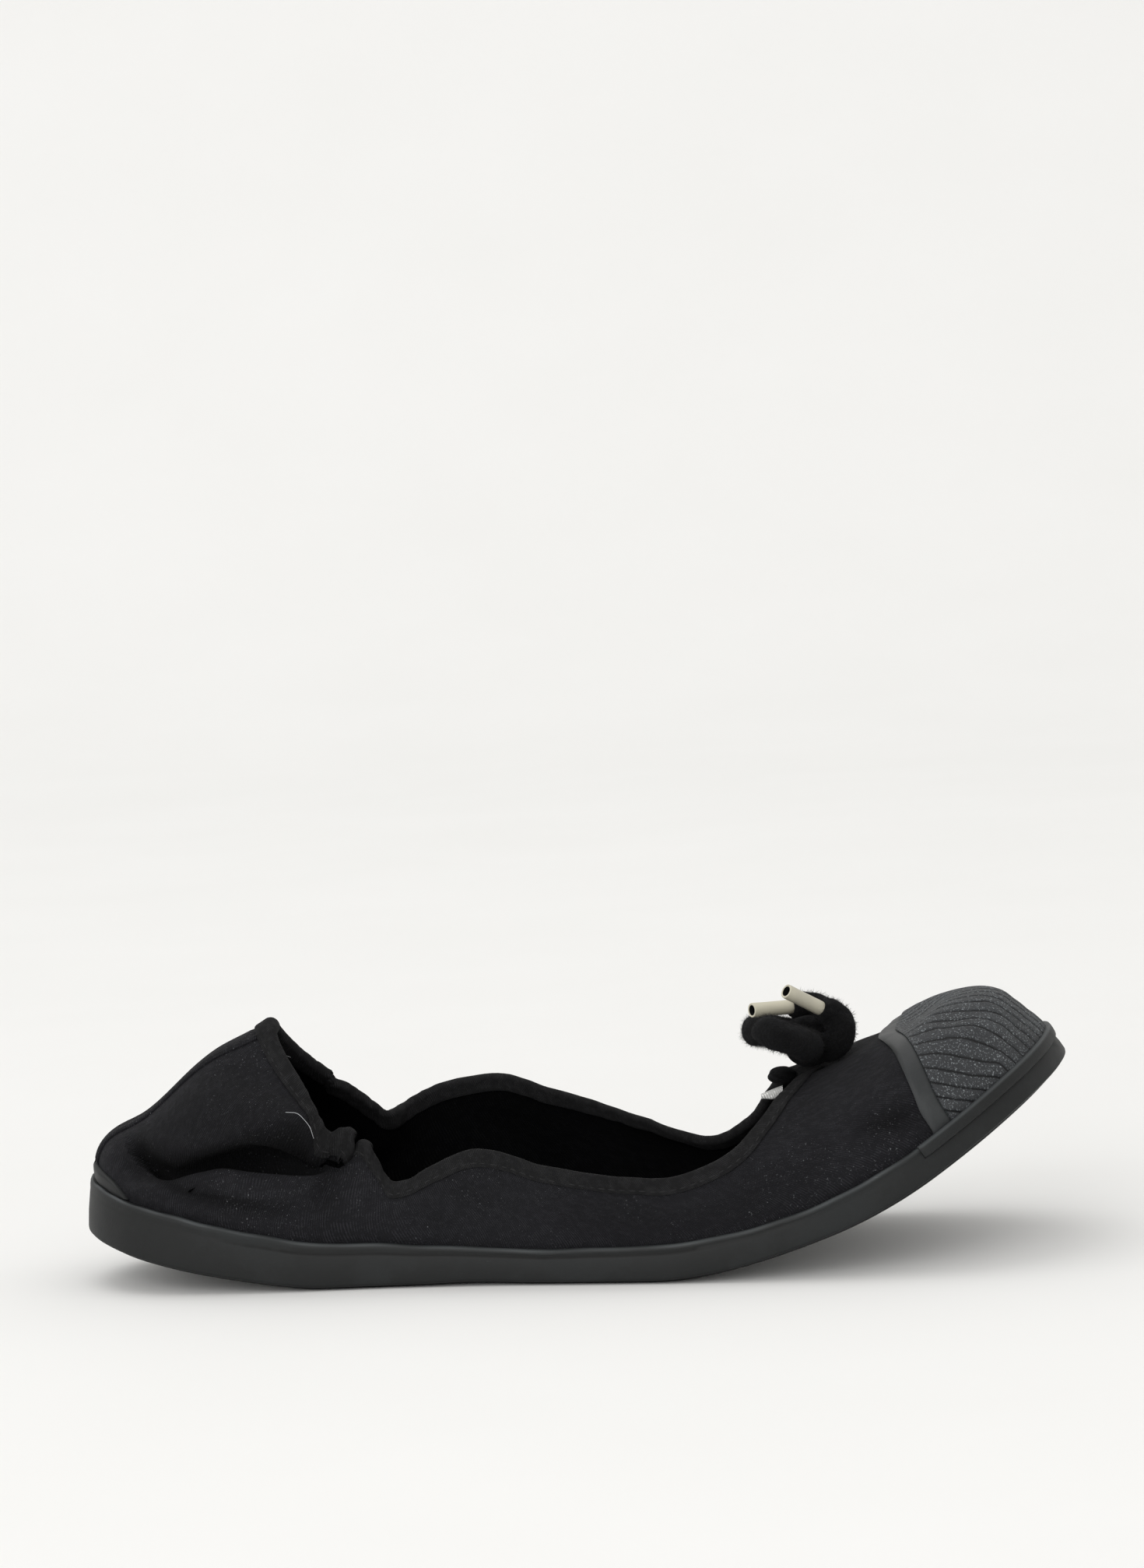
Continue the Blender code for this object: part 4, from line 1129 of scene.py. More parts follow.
def build_stitch_tree():
    """Stitches along a route: short round threads, each in line with it."""
    tree, start, end = node_tree("Stitches", Spacing=0.0028, Length=0.0020, Thickness=0.0004)
    links, nodes = tree.links, tree.nodes
    curve = nodes.new("GeometryNodeMeshToCurve")
    even = nodes.new("GeometryNodeResampleCurve")
    even.mode = "LENGTH"
    ball = nodes.new("GeometryNodeMeshUVSphere")
    ball.inputs["Segments"].default_value = 8
    ball.inputs["Rings"].default_value = 6
    ball.inputs["Radius"].default_value = 0.5
    size = nodes.new("ShaderNodeCombineXYZ")
    shape = nodes.new("GeometryNodeTransform")
    tangent = nodes.new("GeometryNodeInputTangent")
    align = nodes.new("FunctionNodeAlignRotationToVector")
    align.axis = "X"
    copies = nodes.new("GeometryNodeInstanceOnPoints")
    links.new(start.outputs["Geometry"], curve.inputs[0])
    links.new(curve.outputs[0], even.inputs["Curve"])
    links.new(start.outputs["Spacing"], even.inputs["Length"])
    links.new(start.outputs["Length"], size.inputs[0])
    links.new(start.outputs["Thickness"], size.inputs[1])
    links.new(start.outputs["Thickness"], size.inputs[2])
    links.new(ball.outputs["Mesh"], shape.inputs["Geometry"])
    links.new(size.outputs[0], shape.inputs["Scale"])
    links.new(tangent.outputs[0], align.inputs["Vector"])
    links.new(even.outputs[0], copies.inputs["Points"])
    links.new(shape.outputs[0], copies.inputs["Instance"])
    links.new(align.outputs[0], copies.inputs["Rotation"])
    finish_tree(tree, start, end, copies.outputs[0])
    return tree


def build_fibre_tree():
    """Loose fibres that stand off a surface at random."""
    values = {"Density": 1e6, "Length": 0.0012, "Thickness": 0.00006, "Lean": 1.1, "Seed": 3}
    tree, start, end = node_tree("Fibres", **values)
    links, nodes = tree.links, tree.nodes
    spread = nodes.new("GeometryNodeDistributePointsOnFaces")
    cone = nodes.new("GeometryNodeMeshCone")
    cone.fill_type = "NONE"
    cone.inputs["Vertices"].default_value = 3
    cone.inputs["Radius Top"].default_value = 0.0
    lean = nodes.new("ShaderNodeVectorMath")
    lean.operation = "SCALE"
    random = nodes.new("FunctionNodeRandomValue")
    random.data_type = "FLOAT_VECTOR"
    random.inputs["Min"].default_value = (-1.0, -1.0, -1.0)
    turned = nodes.new("FunctionNodeEulerToRotation")
    rotate = nodes.new("FunctionNodeRotateRotation")
    rotate.rotation_space = "LOCAL"
    grow = nodes.new("FunctionNodeRandomValue")
    grow.data_type = "FLOAT"
    grow.inputs[2].default_value = 0.35
    grow.inputs[3].default_value = 1.25
    copies = nodes.new("GeometryNodeInstanceOnPoints")
    links.new(start.outputs["Geometry"], spread.inputs["Mesh"])
    links.new(start.outputs["Density"], spread.inputs["Density"])
    links.new(start.outputs["Seed"], spread.inputs["Seed"])
    links.new(start.outputs["Seed"], random.inputs["Seed"])
    links.new(start.outputs["Length"], cone.inputs["Depth"])
    links.new(start.outputs["Thickness"], cone.inputs["Radius Bottom"])
    links.new(random.outputs[0], lean.inputs[0])
    links.new(start.outputs["Lean"], lean.inputs["Scale"])
    links.new(lean.outputs[0], turned.inputs[0])
    links.new(spread.outputs["Rotation"], rotate.inputs[0])
    links.new(turned.outputs[0], rotate.inputs[1])
    links.new(spread.outputs["Points"], copies.inputs["Points"])
    links.new(cone.outputs["Mesh"], copies.inputs["Instance"])
    links.new(rotate.outputs[0], copies.inputs["Rotation"])
    links.new(grow.outputs[1], copies.inputs["Scale"])
    finish_tree(tree, start, end, copies.outputs[0])
    return tree


def grown(name, base, tree, slot, **values):
    """Runs a geometry node tree on a mesh and keeps what it makes as a plain piece."""
    carrier = bpy.data.objects.new(name + "_base", base)
    bpy.context.scene.collection.objects.link(carrier)
    modifier = carrier.modifiers.new("grow", "NODES")
    modifier.node_group = tree
    for item in tree.interface.items_tree:
        if item.item_type == "SOCKET" and item.in_out == "INPUT" and item.name in values:
            modifier[item.identifier] = values[item.name]
    carrier.update_tag()
    graph = bpy.context.evaluated_depsgraph_get()
    graph.update()
    mesh = bpy.data.meshes.new_from_object(carrier.evaluated_get(graph))
    mesh.name = name
    bpy.data.objects.remove(carrier)
    mesh.shade_smooth()
    return add_piece(name, mesh, None, slot)


def route_mesh(name, points):
    mesh = bpy.data.meshes.new(name)
    mesh.from_pydata([tuple(p) for p in points], [(k, k + 1) for k in range(len(points) - 1)], [])
    return mesh


# Pieces


def turns(count, start=0.0):
    return start + np.arange(count) / count


def upper_turns(settings):
    """Turns round the upper, closer together where the flap overlaps the quarter."""
    return np.unique(np.concatenate((turns(settings.ribs), np.linspace(0.118, 0.182, 110))))


def make_upper(settings):
    around = upper_turns(settings)
    rises = np.concatenate(([0.0, 0.06], np.linspace(WALL_FOOT, 1.0, settings.rows)))
    t, r = np.meshgrid(around, rises, indexing="ij")
    outer = off_wall(t, r)
    inner = off_wall(t, r[:, ::-1], -WALL + 0 * r)
    grid = np.concatenate((outer, inner), axis=1)
    paint = (np.arange(grid.shape[1]) >= outer.shape[1]).astype(int)
    # Painted shade for the canvas, darker in the heel's recess, on its flap and in the crease troughs
    shade = skin_at(np.concatenate((t, t), axis=1), np.concatenate((r, r[:, ::-1]), axis=1))[..., 9]
    fields = (("painted_shade", shade),)
    mesh = grid_mesh(
        "upper_cloth", grid, "even", loop_rows=True, loop_columns=True, paint=paint, fields=fields
    )
    piece = add_piece("upper_cloth", mesh, FINISHES["canvas"], "canvas", "upper")
    mesh.materials.append(FINISHES["lining"])
    return piece


def make_binding(settings):
    around = upper_turns(settings)
    low = rise_below_collar(around, TAPE_DEPTH + 0.0004)
    ring = ring_at(around)
    pucker = np.sin(ring * 395 + 2 * np.sin(ring * 41)) + 0.5 * np.sin(ring * 640 + 0.7)
    pucker = 0.00007 * pucker * (bell((ring - 0.33) / 0.35) + 0.5)
    proud = settings.tape_proud * (1 + 1.2 * bell(ring / 0.07))
    reach = WALL / 2 + proud
    columns = []

    def add(rise, offset, beyond=0.0):
        columns.append(off_wall(around, rise, offset, beyond))

    for k in range(7):
        t = k / 6
        fall = 0.0002 * (1 - min(t * 4, 1.0)) ** 2
        rise = low + (1 - low) * t * 0.98
        add(rise, proud - fall + pucker * (1 - 0.4 * t))
    for k in range(1, 12):
        angle = pi * k / 12
        top = TAPE_GAP + proud
        add(1.0, -WALL / 2 + reach * cos(angle) + pucker * cos(angle) * 0.6, top * sin(angle))
    for k in range(7):
        t = 1 - k / 6
        fall = 0.0002 * (1 - min(t * 4, 1.0)) ** 2
        rise = low + (1 - low) * t * 0.98
        add(rise, -WALL - proud + fall - pucker * (1 - 0.4 * t))
    rises = (low, low + (1 - low) * 0.5, 1.0)
    for rise in rises:
        add(rise, -WALL - 0.00005)
    for rise in rises[::-1]:
        add(rise, 0.00005)
    grid = np.stack(columns, axis=1)
    mesh = grid_mesh("collar_tape", grid, "even", loop_rows=True, loop_columns=True)
    return add_piece("collar_tape", mesh, FINISHES["tape"], "binding_tape", "collar_binding")


def sole_slab(name, inset, low, high, bevel, finish, slot, node):
    """A flat layer of the sole with rounded edges, divided across for its surface."""
    turn = np.linspace(0.0, 0.5, SLAB_RIBS)
    cuts = ((0.0, bevel), (0.3 * bevel, 0.3 * bevel), (bevel, 0.0))
    ends = [(inset + cut, high - drop) for drop, cut in cuts]
    ends += [(inset + cut, low + drop) for drop, cut in cuts[::-1]]
    one, two = (np.stack([edge(at, *end) for end in ends], axis=1) for at in (turn, 1 - turn))
    share = np.linspace(0, 1, SLAB_COLUMNS)[None, :, None]
    top = two[:, None, 0] + (one[:, None, 0] - two[:, None, 0]) * share
    under = one[:, None, -1] + (two[:, None, -1] - one[:, None, -1]) * share
    grid = place(np.concatenate((top[:, :-1], one, under[:, 1:-1], two[:, ::-1]), axis=1))
    mesh = grid_mesh(name, grid, "even", loop_columns=True)
    return add_piece(name, mesh, finish, slot, node)


def make_foxing():
    """The rubber tape round the sole's side, with a step in its face, painted shade in the step and a
    painted highlight along its top edge.
    """
    turn = turns(FOXING_RIBS)
    ring = ring_at(turn)
    wave = 0.00010 * np.sin(ring * 61) + 0.00006 * np.sin(ring * 147 + 1)
    low, top = FOXING_LIFT, foxing_top(turn) + wave * side_at(turn)
    step_at = low + (top - low) * FOXING_STEP_SHARE
    sink = FOXING_STEP * np.interp(along_of(ring), (0.10, 0.20, 0.60, 0.75), (0.12, 1.0, 1.0, 0.2))
    kick = TOE_KICK * bell((ring - 1) / 0.25)
    section = [
        (0.0012, low),
        (0.0005 - kick * 0.6, low),
        (0.0001 - kick * 0.9, low + 0.0003),
        (-kick, low + 0.0008),
        (-0.00012 - kick * 0.7, low + (step_at - low) * 0.5),
        (-kick * 0.3, step_at - 0.0003),
        (sink * 0.25, step_at),
        (sink, step_at + 0.00028),
        (sink, step_at + 0.0009),
        (sink - 0.00005, (step_at + top) / 2),
        (sink, top - 0.0007),
        (sink + 0.00012, top - 0.0003),
        (sink + 0.00045, top),
        (FOXING_THICK - 0.0001, top + 0.00006),
        (FOXING_THICK, top - 0.0004),
        (FOXING_THICK, low),
    ]
    grid = band_section(turn, section)
    # A painted highlight along the top edge, uneven in strength, and painted shade in the step
    patchiness = 0.65 + 0.35 * np.sin(ring * 37) * np.sin(ring * 91 + 1)
    corner = np.zeros(grid.shape[:2])
    corner[:, 11:13] = patchiness[:, None]
    corner[:, 10] = 0.15 * patchiness
    seam = np.zeros(grid.shape[:2])
    seam[:, 6:8] = (sink / FOXING_STEP)[:, None]
    fields = (("edge", corner), ("painted_shade", seam))
    mesh = grid_mesh("foxing_tape", grid, "even", loop_rows=True, loop_columns=True, fields=fields)
    return add_piece("foxing_tape", mesh, FINISHES["rubber"], "sole_rubber", "foxing")


def make_bumper():
    """The second, narrow tape round the toe, along the foxing's top."""
    first = ring_of(BUMPER_ALONG) / 2
    turn = np.linspace(first, 1 - first, BUMPER_RIBS)
    ring = (turn - first) / (1 - 2 * first)
    top = foxing_top(turn) + GAP
    low = top - BUMPER_DEPTH
    ends = np.minimum(ring, 1 - ring) * (1 - 2 * first) * SOLE_LENGTH * 2
    full = 0.35 + 0.65 * np.clip(ends / 0.0012, 0, 1) ** 0.5
    thick = BUMPER_THICK * full * (1 - 0.4 * bell((ring - 0.5) / 0.25))
    section = [
        (0.0002, low),
        (-thick * 0.55, low),
        (-GAP - thick * 0.85, low + 0.0003),
        (-GAP - thick, low + 0.0008),
        (-GAP - thick * 1.05, (low + top) / 2),
        (-GAP - thick, top - 0.0008),
        (-GAP - thick * 0.85, top - 0.0003),
        (-thick * 0.55, top),
        (FOXING_STEP + 0.0006, top),
    ]
    grid = band_section(turn, section)
    # A painted highlight along the top edge and painted shade under the lower edge
    column = np.arange(len(section))[None, :]
    fields = (("edge", np.isin(column, (6, 7)) * 0.8), ("painted_shade", (column == 1) * 1.0))
    mesh = grid_mesh("toe_bumper_strip", grid, "even", loop_columns=True, caps=True, fields=fields)
    return add_piece("toe_bumper_strip", mesh, FINISHES["rubber"], "sole_rubber", "toe_bumper")


def overlay(name, turn, rise, gap, thick, finish, slot, node):
    """A skin of one thickness on the wall over a grid of (turn, rise), with rounded edges."""
    rows, columns = turn.shape
    steps = np.minimum(from_ends(rows)[:, None], from_ends(columns)[None, :])
    full = np.select([steps == 0, steps == 1], [0.45, 0.86], 1.0)
    outer = off_wall(turn, rise, gap + thick * full)
    under = off_wall(turn, rise, gap * 0.2)
    grid = np.concatenate((outer, under[:, ::-1]), axis=1)
    mesh = grid_mesh(name, grid, "even", loop_columns=True, closed=True)
    return add_piece(name, mesh, finish, slot, node)


def rise_at(turn, value, of):
    """For each turn, the rise at which a measure of the wall's points first reaches a value."""
    rises = np.linspace(WALL_FOOT, 1.0, 221)
    t, r = np.meshgrid(turn, rises, indexing="ij")
    measured = of(sole_points(t, r))
    value = np.broadcast_to(value, turn.shape)
    reached = measured >= value[:, None]
    k = np.clip(np.argmax(reached, axis=1), 1, len(rises) - 1)
    rows = np.arange(len(turn))
    low, high = measured[rows, k - 1], measured[rows, k]
    share = np.clip((value - low) / np.where(high == low, 1, high - low), 0, 1)
    found = rises[k - 1] + (rises[k] - rises[k - 1]) * share
    return np.where(reached[:, 0], WALL_FOOT, np.where(reached.any(axis=1), found, 1.0))


def sole_points(turn, rise):
    """The wall's points in the sole's own frame."""
    points = main_wall(turn, rise)
    xs, zs, slopes = SOLE_LINE
    steps = len(xs) - 1
    share = np.arange(steps + 1) / steps
    x, z = points[..., 0], points[..., 2]
    at = np.interp(x, xs, share)
    for _ in range(6):
        slope = np.interp(at, share, slopes)
        ahead = (x - np.interp(at, share, xs)) * np.cos(slope)
        ahead = ahead + (z - np.interp(at, share, zs)) * np.sin(slope)
        at = np.clip(at + ahead / SOLE_LENGTH, 0, 1)
    slope = np.interp(at, share, slopes)
    up = -(x - np.interp(at, share, xs)) * np.sin(slope)
    up = up + (z - np.interp(at, share, zs)) * np.cos(slope)
    return np.stack((at * SOLE_LENGTH, points[..., 1], up), axis=-1)


def make_heel_tab():
    turn = np.linspace(-TAB_RING / 2, TAB_RING / 2, 91)
    share = turn / (TAB_RING / 2)
    top = TAB_HEIGHT - (TAB_HEIGHT - FOXING_HEIGHT) * 0.85 * share**4
    low = rise_at(turn, foxing_top(turn) + 0.0001, lambda p: p[..., 2])
    high = rise_at(turn, top, lambda p: p[..., 2])
    part = np.linspace(0, 1, 13)[None, :]
    rise = low[:, None] + (high - low)[:, None] * part
    t = np.repeat(turn[:, None], 13, axis=1)
    return overlay(
        "heel_patch", t, rise, 0.0002, TAB_THICK, FINISHES["rubber"], "sole_rubber", "heel_tab"
    )


def strip_turns(rises, reach):
    """Turns at a distance round the heel from its middle, one for each rise."""
    tries = np.linspace(0, np.sign(reach) * 0.16, 161)
    t, r = np.meshgrid(tries, rises, indexing="ij")
    points = main_wall(t, r)
    away = np.linalg.norm(points - points[:1], axis=-1)
    return np.array([np.interp(abs(reach), away[:, k], tries) for k in range(len(rises))])


def strip_ends():
    middle = np.array([0.0])
    low = rise_at(middle, TAB_HEIGHT + 0.0002, lambda p: p[..., 2])[0]
    high = rise_below_collar(middle, TAPE_DEPTH + 0.0006)[0]
    return low, high


def make_back_strip():
    low, high = strip_ends()
    rises = np.linspace(low, high, 90)
    one, two = (strip_turns(rises, side * STRIP_WIDTH / 2) for side in (-1, 1))
    share = np.linspace(0, 1, 25)[None, :]
    turn = one[:, None] + (two - one)[:, None] * share
    rise = np.repeat(rises[:, None], 25, axis=1)
    return overlay(
        "back_seam_strip", turn, rise, 0.0001, STRIP_THICK, FINISHES["canvas"], "canvas", "back_strip"
    )


def measure_toe():
    """The toe's ribs: their turns and rises, how far along each place is, and their feet."""
    turn = np.linspace(0.30, 0.70, TOE_RIBS)
    rises = np.linspace(WALL_FOOT * 0.85, 1.0, 321)
    t, r = np.meshgrid(turn, rises, indexing="ij")
    points = sole_points(t, r)
    foot = foxing_top(turn) - 0.0004
    foot_rise = np.array([np.interp(foot[j], points[j, :, 2], rises) for j in range(TOE_RIBS)])
    foot_along = np.array([np.interp(foot_rise[j], rises, points[j, :, 0]) for j in range(TOE_RIBS)])
    return turn, rises, points[..., 0], foot_rise, foot_along


def last_rise(rows, rises, marks):
    """Up each rib, the last rise at which it is still ahead of its mark, or 0 where it never is."""
    marks = np.broadcast_to(marks, len(rows))
    ahead = rows >= marks[:, None]
    k = np.clip(rows.shape[1] - 1 - np.argmax(ahead[:, ::-1], axis=1), 0, rows.shape[1] - 2)
    at = np.arange(len(rows))
    over, under = rows[at, k], rows[at, k + 1]
    found = rises[k] + (rises[1] - rises[0]) * np.clip((over - marks) / (over - under), 0, 1)
    return np.where(ahead.any(axis=1), found, 0.0)


def toe_ribs(toe, at):
    """How far along each place of the ribs at some turns is, and the rises of their feet."""
    turn, _, along, foot_rise, _ = toe
    place_at = (at - turn[0]) / (turn[1] - turn[0])
    j = np.clip(place_at.astype(int), 0, len(turn) - 2)
    f = (place_at - j)[:, None]
    return along[j] * (1 - f) + along[j + 1] * f, np.interp(at, turn, foot_rise)


def foot_turns(toe, mark):
    """The turns on either side at which the toe's foot is a distance along."""
    turn, foot_along = toe[0], toe[-1]
    half = TOE_RIBS // 2
    one = np.interp(mark, foot_along[: half + 1], turn[: half + 1])
    return one, np.interp(-mark, -foot_along[half:], turn[half:])


def toe_slice(toe, mark):
    """A slice across the toe, bowed ahead on its sides: turns, rises, distances from its ridge."""
    rises = toe[1]
    one, two = foot_turns(toe, mark)
    middle = np.linspace(one, two, SLICE_POINTS)
    across = np.concatenate((np.full(SLICE_ENDS, one), middle, np.full(SLICE_ENDS, two)))
    climb = np.minimum(from_ends(len(across)) / SLICE_ENDS, 1.0)
    ribs, feet = toe_ribs(toe, across)
    share = 0 * across
    for _ in range(2):
        marks = mark + BAND_BOW * np.sin(tau * share) ** 2
        rise = feet + (np.maximum(last_rise(ribs, rises, marks), feet) - feet) * climb
        girth = run_along(off_wall(across, rise))
        share = girth / girth[-1]
    return across, rise, girth - girth[SLICE_RIDGE]


def moulded(name, turn, rise, round_rows, round_columns, thick, relief, uv, finish, slot, node):
    """A moulded skin on the wall over a grid of (turn, rise), rounded at its edges."""
    height = CAP_GAP * 0.4 + thick * round_rows * round_columns - relief
    outer = off_wall(turn, rise, height)
    columns = np.linspace(turn.shape[1] - 1, 0, 7).astype(int)
    under = off_wall(turn[:, columns], rise[:, columns], 0.00005)
    grid = np.concatenate((outer, under), axis=1)
    looped = [np.concatenate((a, a[:, columns], a[:, :1]), axis=1) for a in uv]
    mesh = grid_mesh(name, grid, looped, loop_columns=True, closed=True)
    return add_piece(name, mesh, finish, slot, node)


def rounding(count, steps=3):
    """Shares of the full thickness over a run that is rounded at both ends."""
    return np.interp(from_ends(count), range(steps + 1), (0.35, 0.80, 0.95, 1.0)[-steps - 1 :])


def make_toe(settings):
    toe = measure_toe()
    front = CAP_EDGE * SOLE_LENGTH
    marks = np.linspace(front - BAND_WIDTH, front + BAND_LAP, BAND_ROWS)
    slices = [toe_slice(toe, mark) for mark in marks]
    share = np.linspace(0, 1, BAND_COLUMNS)[:, None]
    even = [(one[2][0] + (one[2][-1] - one[2][0]) * share)[:, 0] for one in slices]
    turns_at, rises_at, girths = (
        np.array([np.interp(here, one[2], one[k]) for here, one in zip(even, slices)]) for k in range(3)
    )
    marks = np.repeat(np.linspace(0, BAND_WIDTH, BAND_ROWS)[:, None], BAND_COLUMNS, axis=1)
    moulded(
        "toe_cap_band", turns_at, rises_at, rounding(BAND_ROWS)[:, None],
        rounding(BAND_COLUMNS, 1)[None, :], BAND_PROUD, 0.0, (girths, marks), FINISHES["band"],
        "band_rubber", "cap_band",
    )
    # The cap runs up each rib from its foot to where it meets the band
    ribs, columns = CAP_RIBS, CAP_COLUMNS
    at = np.linspace(*foot_turns(toe, front), ribs)
    low = toe_ribs(toe, at)[1]
    band_turn, band_rise, _ = toe_slice(toe, front)
    inner = slice(SLICE_ENDS, -SLICE_ENDS)
    high = np.maximum(np.interp(at, band_turn[inner], band_rise[inner]), low + 0.002)
    part = np.linspace(0, 1, columns)[None, :]
    rise = low[:, None] + (high - low)[:, None] * part
    spread = np.repeat(at[:, None], columns, axis=1)
    # Distances over the cap from its ridge, which the grooves follow
    middle = ribs // 2
    ridge = off_wall(0.5, np.linspace(low[middle], high[middle], 80))
    straight, _ = distance_to_route(off_wall(spread, rise), ridge)
    side, up, over = (row[SLICE_RIDGE::-1] for row in slices[-1])
    chord = np.maximum.accumulate(distance_to_route(off_wall(side, up), ridge)[0])
    girth = np.interp(straight, chord, -over) * np.sign(spread - 0.5)
    ahead = sole_points(spread, rise)[..., 0]
    pitch = settings.groove_pitch
    away = np.abs((girth / pitch) % 1.0 - 0.5) * pitch
    groove = settings.groove_depth * np.clip(1 - away / 0.00055, 0, 1) ** 0.8
    groove = groove * np.clip(np.minimum(part, 1 - part) * columns / 5 - 0.4, 0, 1)
    moulded(
        "toe_cap_ribbed", spread, rise, rounding(ribs, 1)[:, None], rounding(columns, 1)[None, :],
        CAP_THICK, groove, (girth, ahead), FINISHES["cap"], "cap_rubber", "toe_cap",
    )


def knot_middle():
    return main_wall(0.5, 1.0) + np.array((0, 0, KNOT_RISE))


def smooth_route(rows, parts=24):
    """Points on a smooth curve through a cord's own points."""
    knots = [knot_middle() + np.array(row) * CORD_DIAMETER for row in rows]
    knots = [2 * knots[0] - knots[1], *knots, 2 * knots[-1] - knots[-2]]
    fine = []
    for a, b, c, d in zip(knots, knots[1:], knots[2:], knots[3:]):
        for k in range(parts):
            t = k / parts
            curved = (2 * a - 5 * b + 4 * c - d) * t**2 + (3 * b - a - 3 * c + d) * t**3
            fine.append(0.5 * (2 * b + (c - a) * t + curved))
    fine.append(knots[-2])
    fine = np.array(fine)
    run = run_along(fine)
    even = np.linspace(0, run[-1], int(run[-1] / 0.0005))
    return np.stack([np.interp(even, run, fine[:, k]) for k in range(3)], axis=1)


def tube_grid(points, radius, sides=40):
    """Rings of points round a route, with a radius for each point, untwisted."""
    tangents = np.gradient(points, axis=0)
    tangents /= np.linalg.norm(tangents, axis=1, keepdims=True)
    up = np.array((0.0, 0.0, 1.0))
    side = np.cross(tangents[0], up)
    side /= np.linalg.norm(side)
    rings = []
    angle = np.linspace(0, tau, sides, endpoint=False)
    for point, tangent, r in zip(points, tangents, radius):
        side = side - tangent * (side @ tangent)
        side /= np.linalg.norm(side)
        other = np.cross(tangent, side)
        r = np.broadcast_to(r, angle.shape)
        ring = point + (np.cos(angle) * r)[:, None] * side + (np.sin(angle) * r)[:, None] * other
        rings.append(ring)
    return np.array(rings)


def cord_mesh(name, points, radius, seed):
    """A soft cord: its radius swells and dips along and around it."""
    count, sides = len(points), 40
    along = np.arange(count)[:, None] * 0.0005
    angle = np.linspace(0, tau, sides, endpoint=False)[None, :]
    shape = 0.00010 * np.sin(along * 900 + 2 * angle + seed)
    shape = shape + 0.00012 * np.sin(along * 520 - 3 * angle + 2 * seed)
    shape = shape + 0.00008 * np.sin(along * 1700 + 5 * angle)
    grid = tube_grid(points, radius[:, None] + shape, sides)
    return grid_mesh(name, grid, "even", loop_columns=True, caps=True)


def make_aglet(name, start, direction, finish):
    """A plastic tube with rounded lips, pinched on the cord's end, and a dark mouth."""
    radius = AGLET_DIAMETER / 2
    mouth = radius - AGLET_WALL
    profile = (
        (0.0, -0.0006),
        (radius * 0.9, -0.0006),
        (radius, -0.0002),
        (radius, 0.0010),
        (radius * 0.985, 0.0030),
        (radius * 0.985, 0.0070),
        (radius * 1.01, AGLET_LENGTH - 0.0006),
        (radius * 0.98, AGLET_LENGTH - 0.0001),
        (radius * 0.9, AGLET_LENGTH),
        (mouth, AGLET_LENGTH - 0.0001),
        (mouth, AGLET_LENGTH - 0.0016),
        (0.0, AGLET_LENGTH - 0.0016),
    )
    turn = Vector(direction).to_track_quat("Z", "Y").to_matrix()
    angle = np.linspace(0, tau, 40, endpoint=False)
    rows = []
    for out, up in profile:
        ring = np.stack((np.cos(angle) * out, np.sin(angle) * out, 0 * angle + up), axis=1)
        rows.append(ring @ np.array(turn).T + start)
    mesh = grid_mesh(name, np.array(rows), None, loop_columns=True)
    node = "bow_aglet_near" if "near" in name else "bow_aglet_far"
    piece = add_piece(name, mesh, finish, "aglet_plastic", node)
    mesh.materials.append(FINISHES["cord"])
    for face in mesh.polygons:
        middle = np.array(face.center) - start
        ahead = middle @ np.array(direction)
        aside = np.linalg.norm(middle - ahead * np.array(direction))
        if ahead > AGLET_LENGTH - 0.0022 and aside < mouth * 1.02:
            face.material_index = 1
    return piece


def oval(middle, sizes, dents, segments=(64, 40)):
    """A lumpy oval as a grid of points."""
    theta = np.linspace(0, pi, segments[1])[None, :]
    phi = np.linspace(0, tau, segments[0], endpoint=False)[:, None]
    ball = np.stack(
        (np.sin(theta) * np.cos(phi), np.sin(theta) * np.sin(phi), np.cos(theta) + 0 * phi), axis=-1
    )
    size = 1 + dents * (np.sin(3 * phi + 2 * np.cos(theta) * 3) * np.sin(theta) ** 2)
    return middle + ball * size[..., None] * np.array(sizes)


def make_bow(settings):
    middle = knot_middle()
    knot = oval(middle, (0.0044, 0.0082, 0.0042), 0.05)
    mesh = grid_mesh("bow_knot_core", knot, None, loop_rows=True)
    add_piece("bow_knot_core", mesh, FINISHES["cord"], "bow_cord", "bow_knot")
    angle = np.linspace(-0.2, tau - 0.4, 60)
    wrap = np.stack((np.cos(angle) * 0.0034, 0.0016 * np.sin(angle * 0.5), np.sin(angle) * 0.0034), axis=1)
    wrap = middle + wrap + np.array((-0.0006, 0, 0.0008))
    mesh = cord_mesh("bow_knot_wrap", wrap, np.full(len(wrap), 0.0028), 1.0)
    add_piece("bow_knot_wrap", mesh, FINISHES["cord"], "bow_cord")
    for name, rows, nodes in (
        ("bow_cord_near", CORD_NEAR, ("bow_loop_near", "bow_tail_near")),
        ("bow_cord_far", CORD_FAR, ("bow_loop_far", "bow_tail_far")),
    ):
        points = smooth_route(rows)
        share = np.linspace(0, 1, len(points))
        fat = settings.cord_radius * (1 - 0.10 * np.clip((share - 0.9) / 0.1, 0, 1))
        fat = fat - (fat - AGLET_DIAMETER * 0.62) * np.clip((share - 0.965) / 0.035, 0, 1) ** 2
        mesh = cord_mesh(name, points, fat, 0.7 if "near" in name else 2.1)
        cord = add_piece(name, mesh, FINISHES["cord"], "bow_cord", *nodes)
        direction = points[-1] - points[-4]
        direction = direction / np.linalg.norm(direction)
        tube = name.replace("cord", "aglet") + "_tube"
        aglet = make_aglet(tube, points[-1] + direction * GAP, direction, FINISHES["aglet"])
        grown(
            name.replace("cord", "fluff"), mesh.copy(), TREES["fibres"], "bow_cord",
            Density=settings.fluff_density, Length=0.0013, Thickness=0.000045, Lean=1.2,
            Seed=5 if "near" in name else 9, Finish=FINISHES["fluff"],
        )


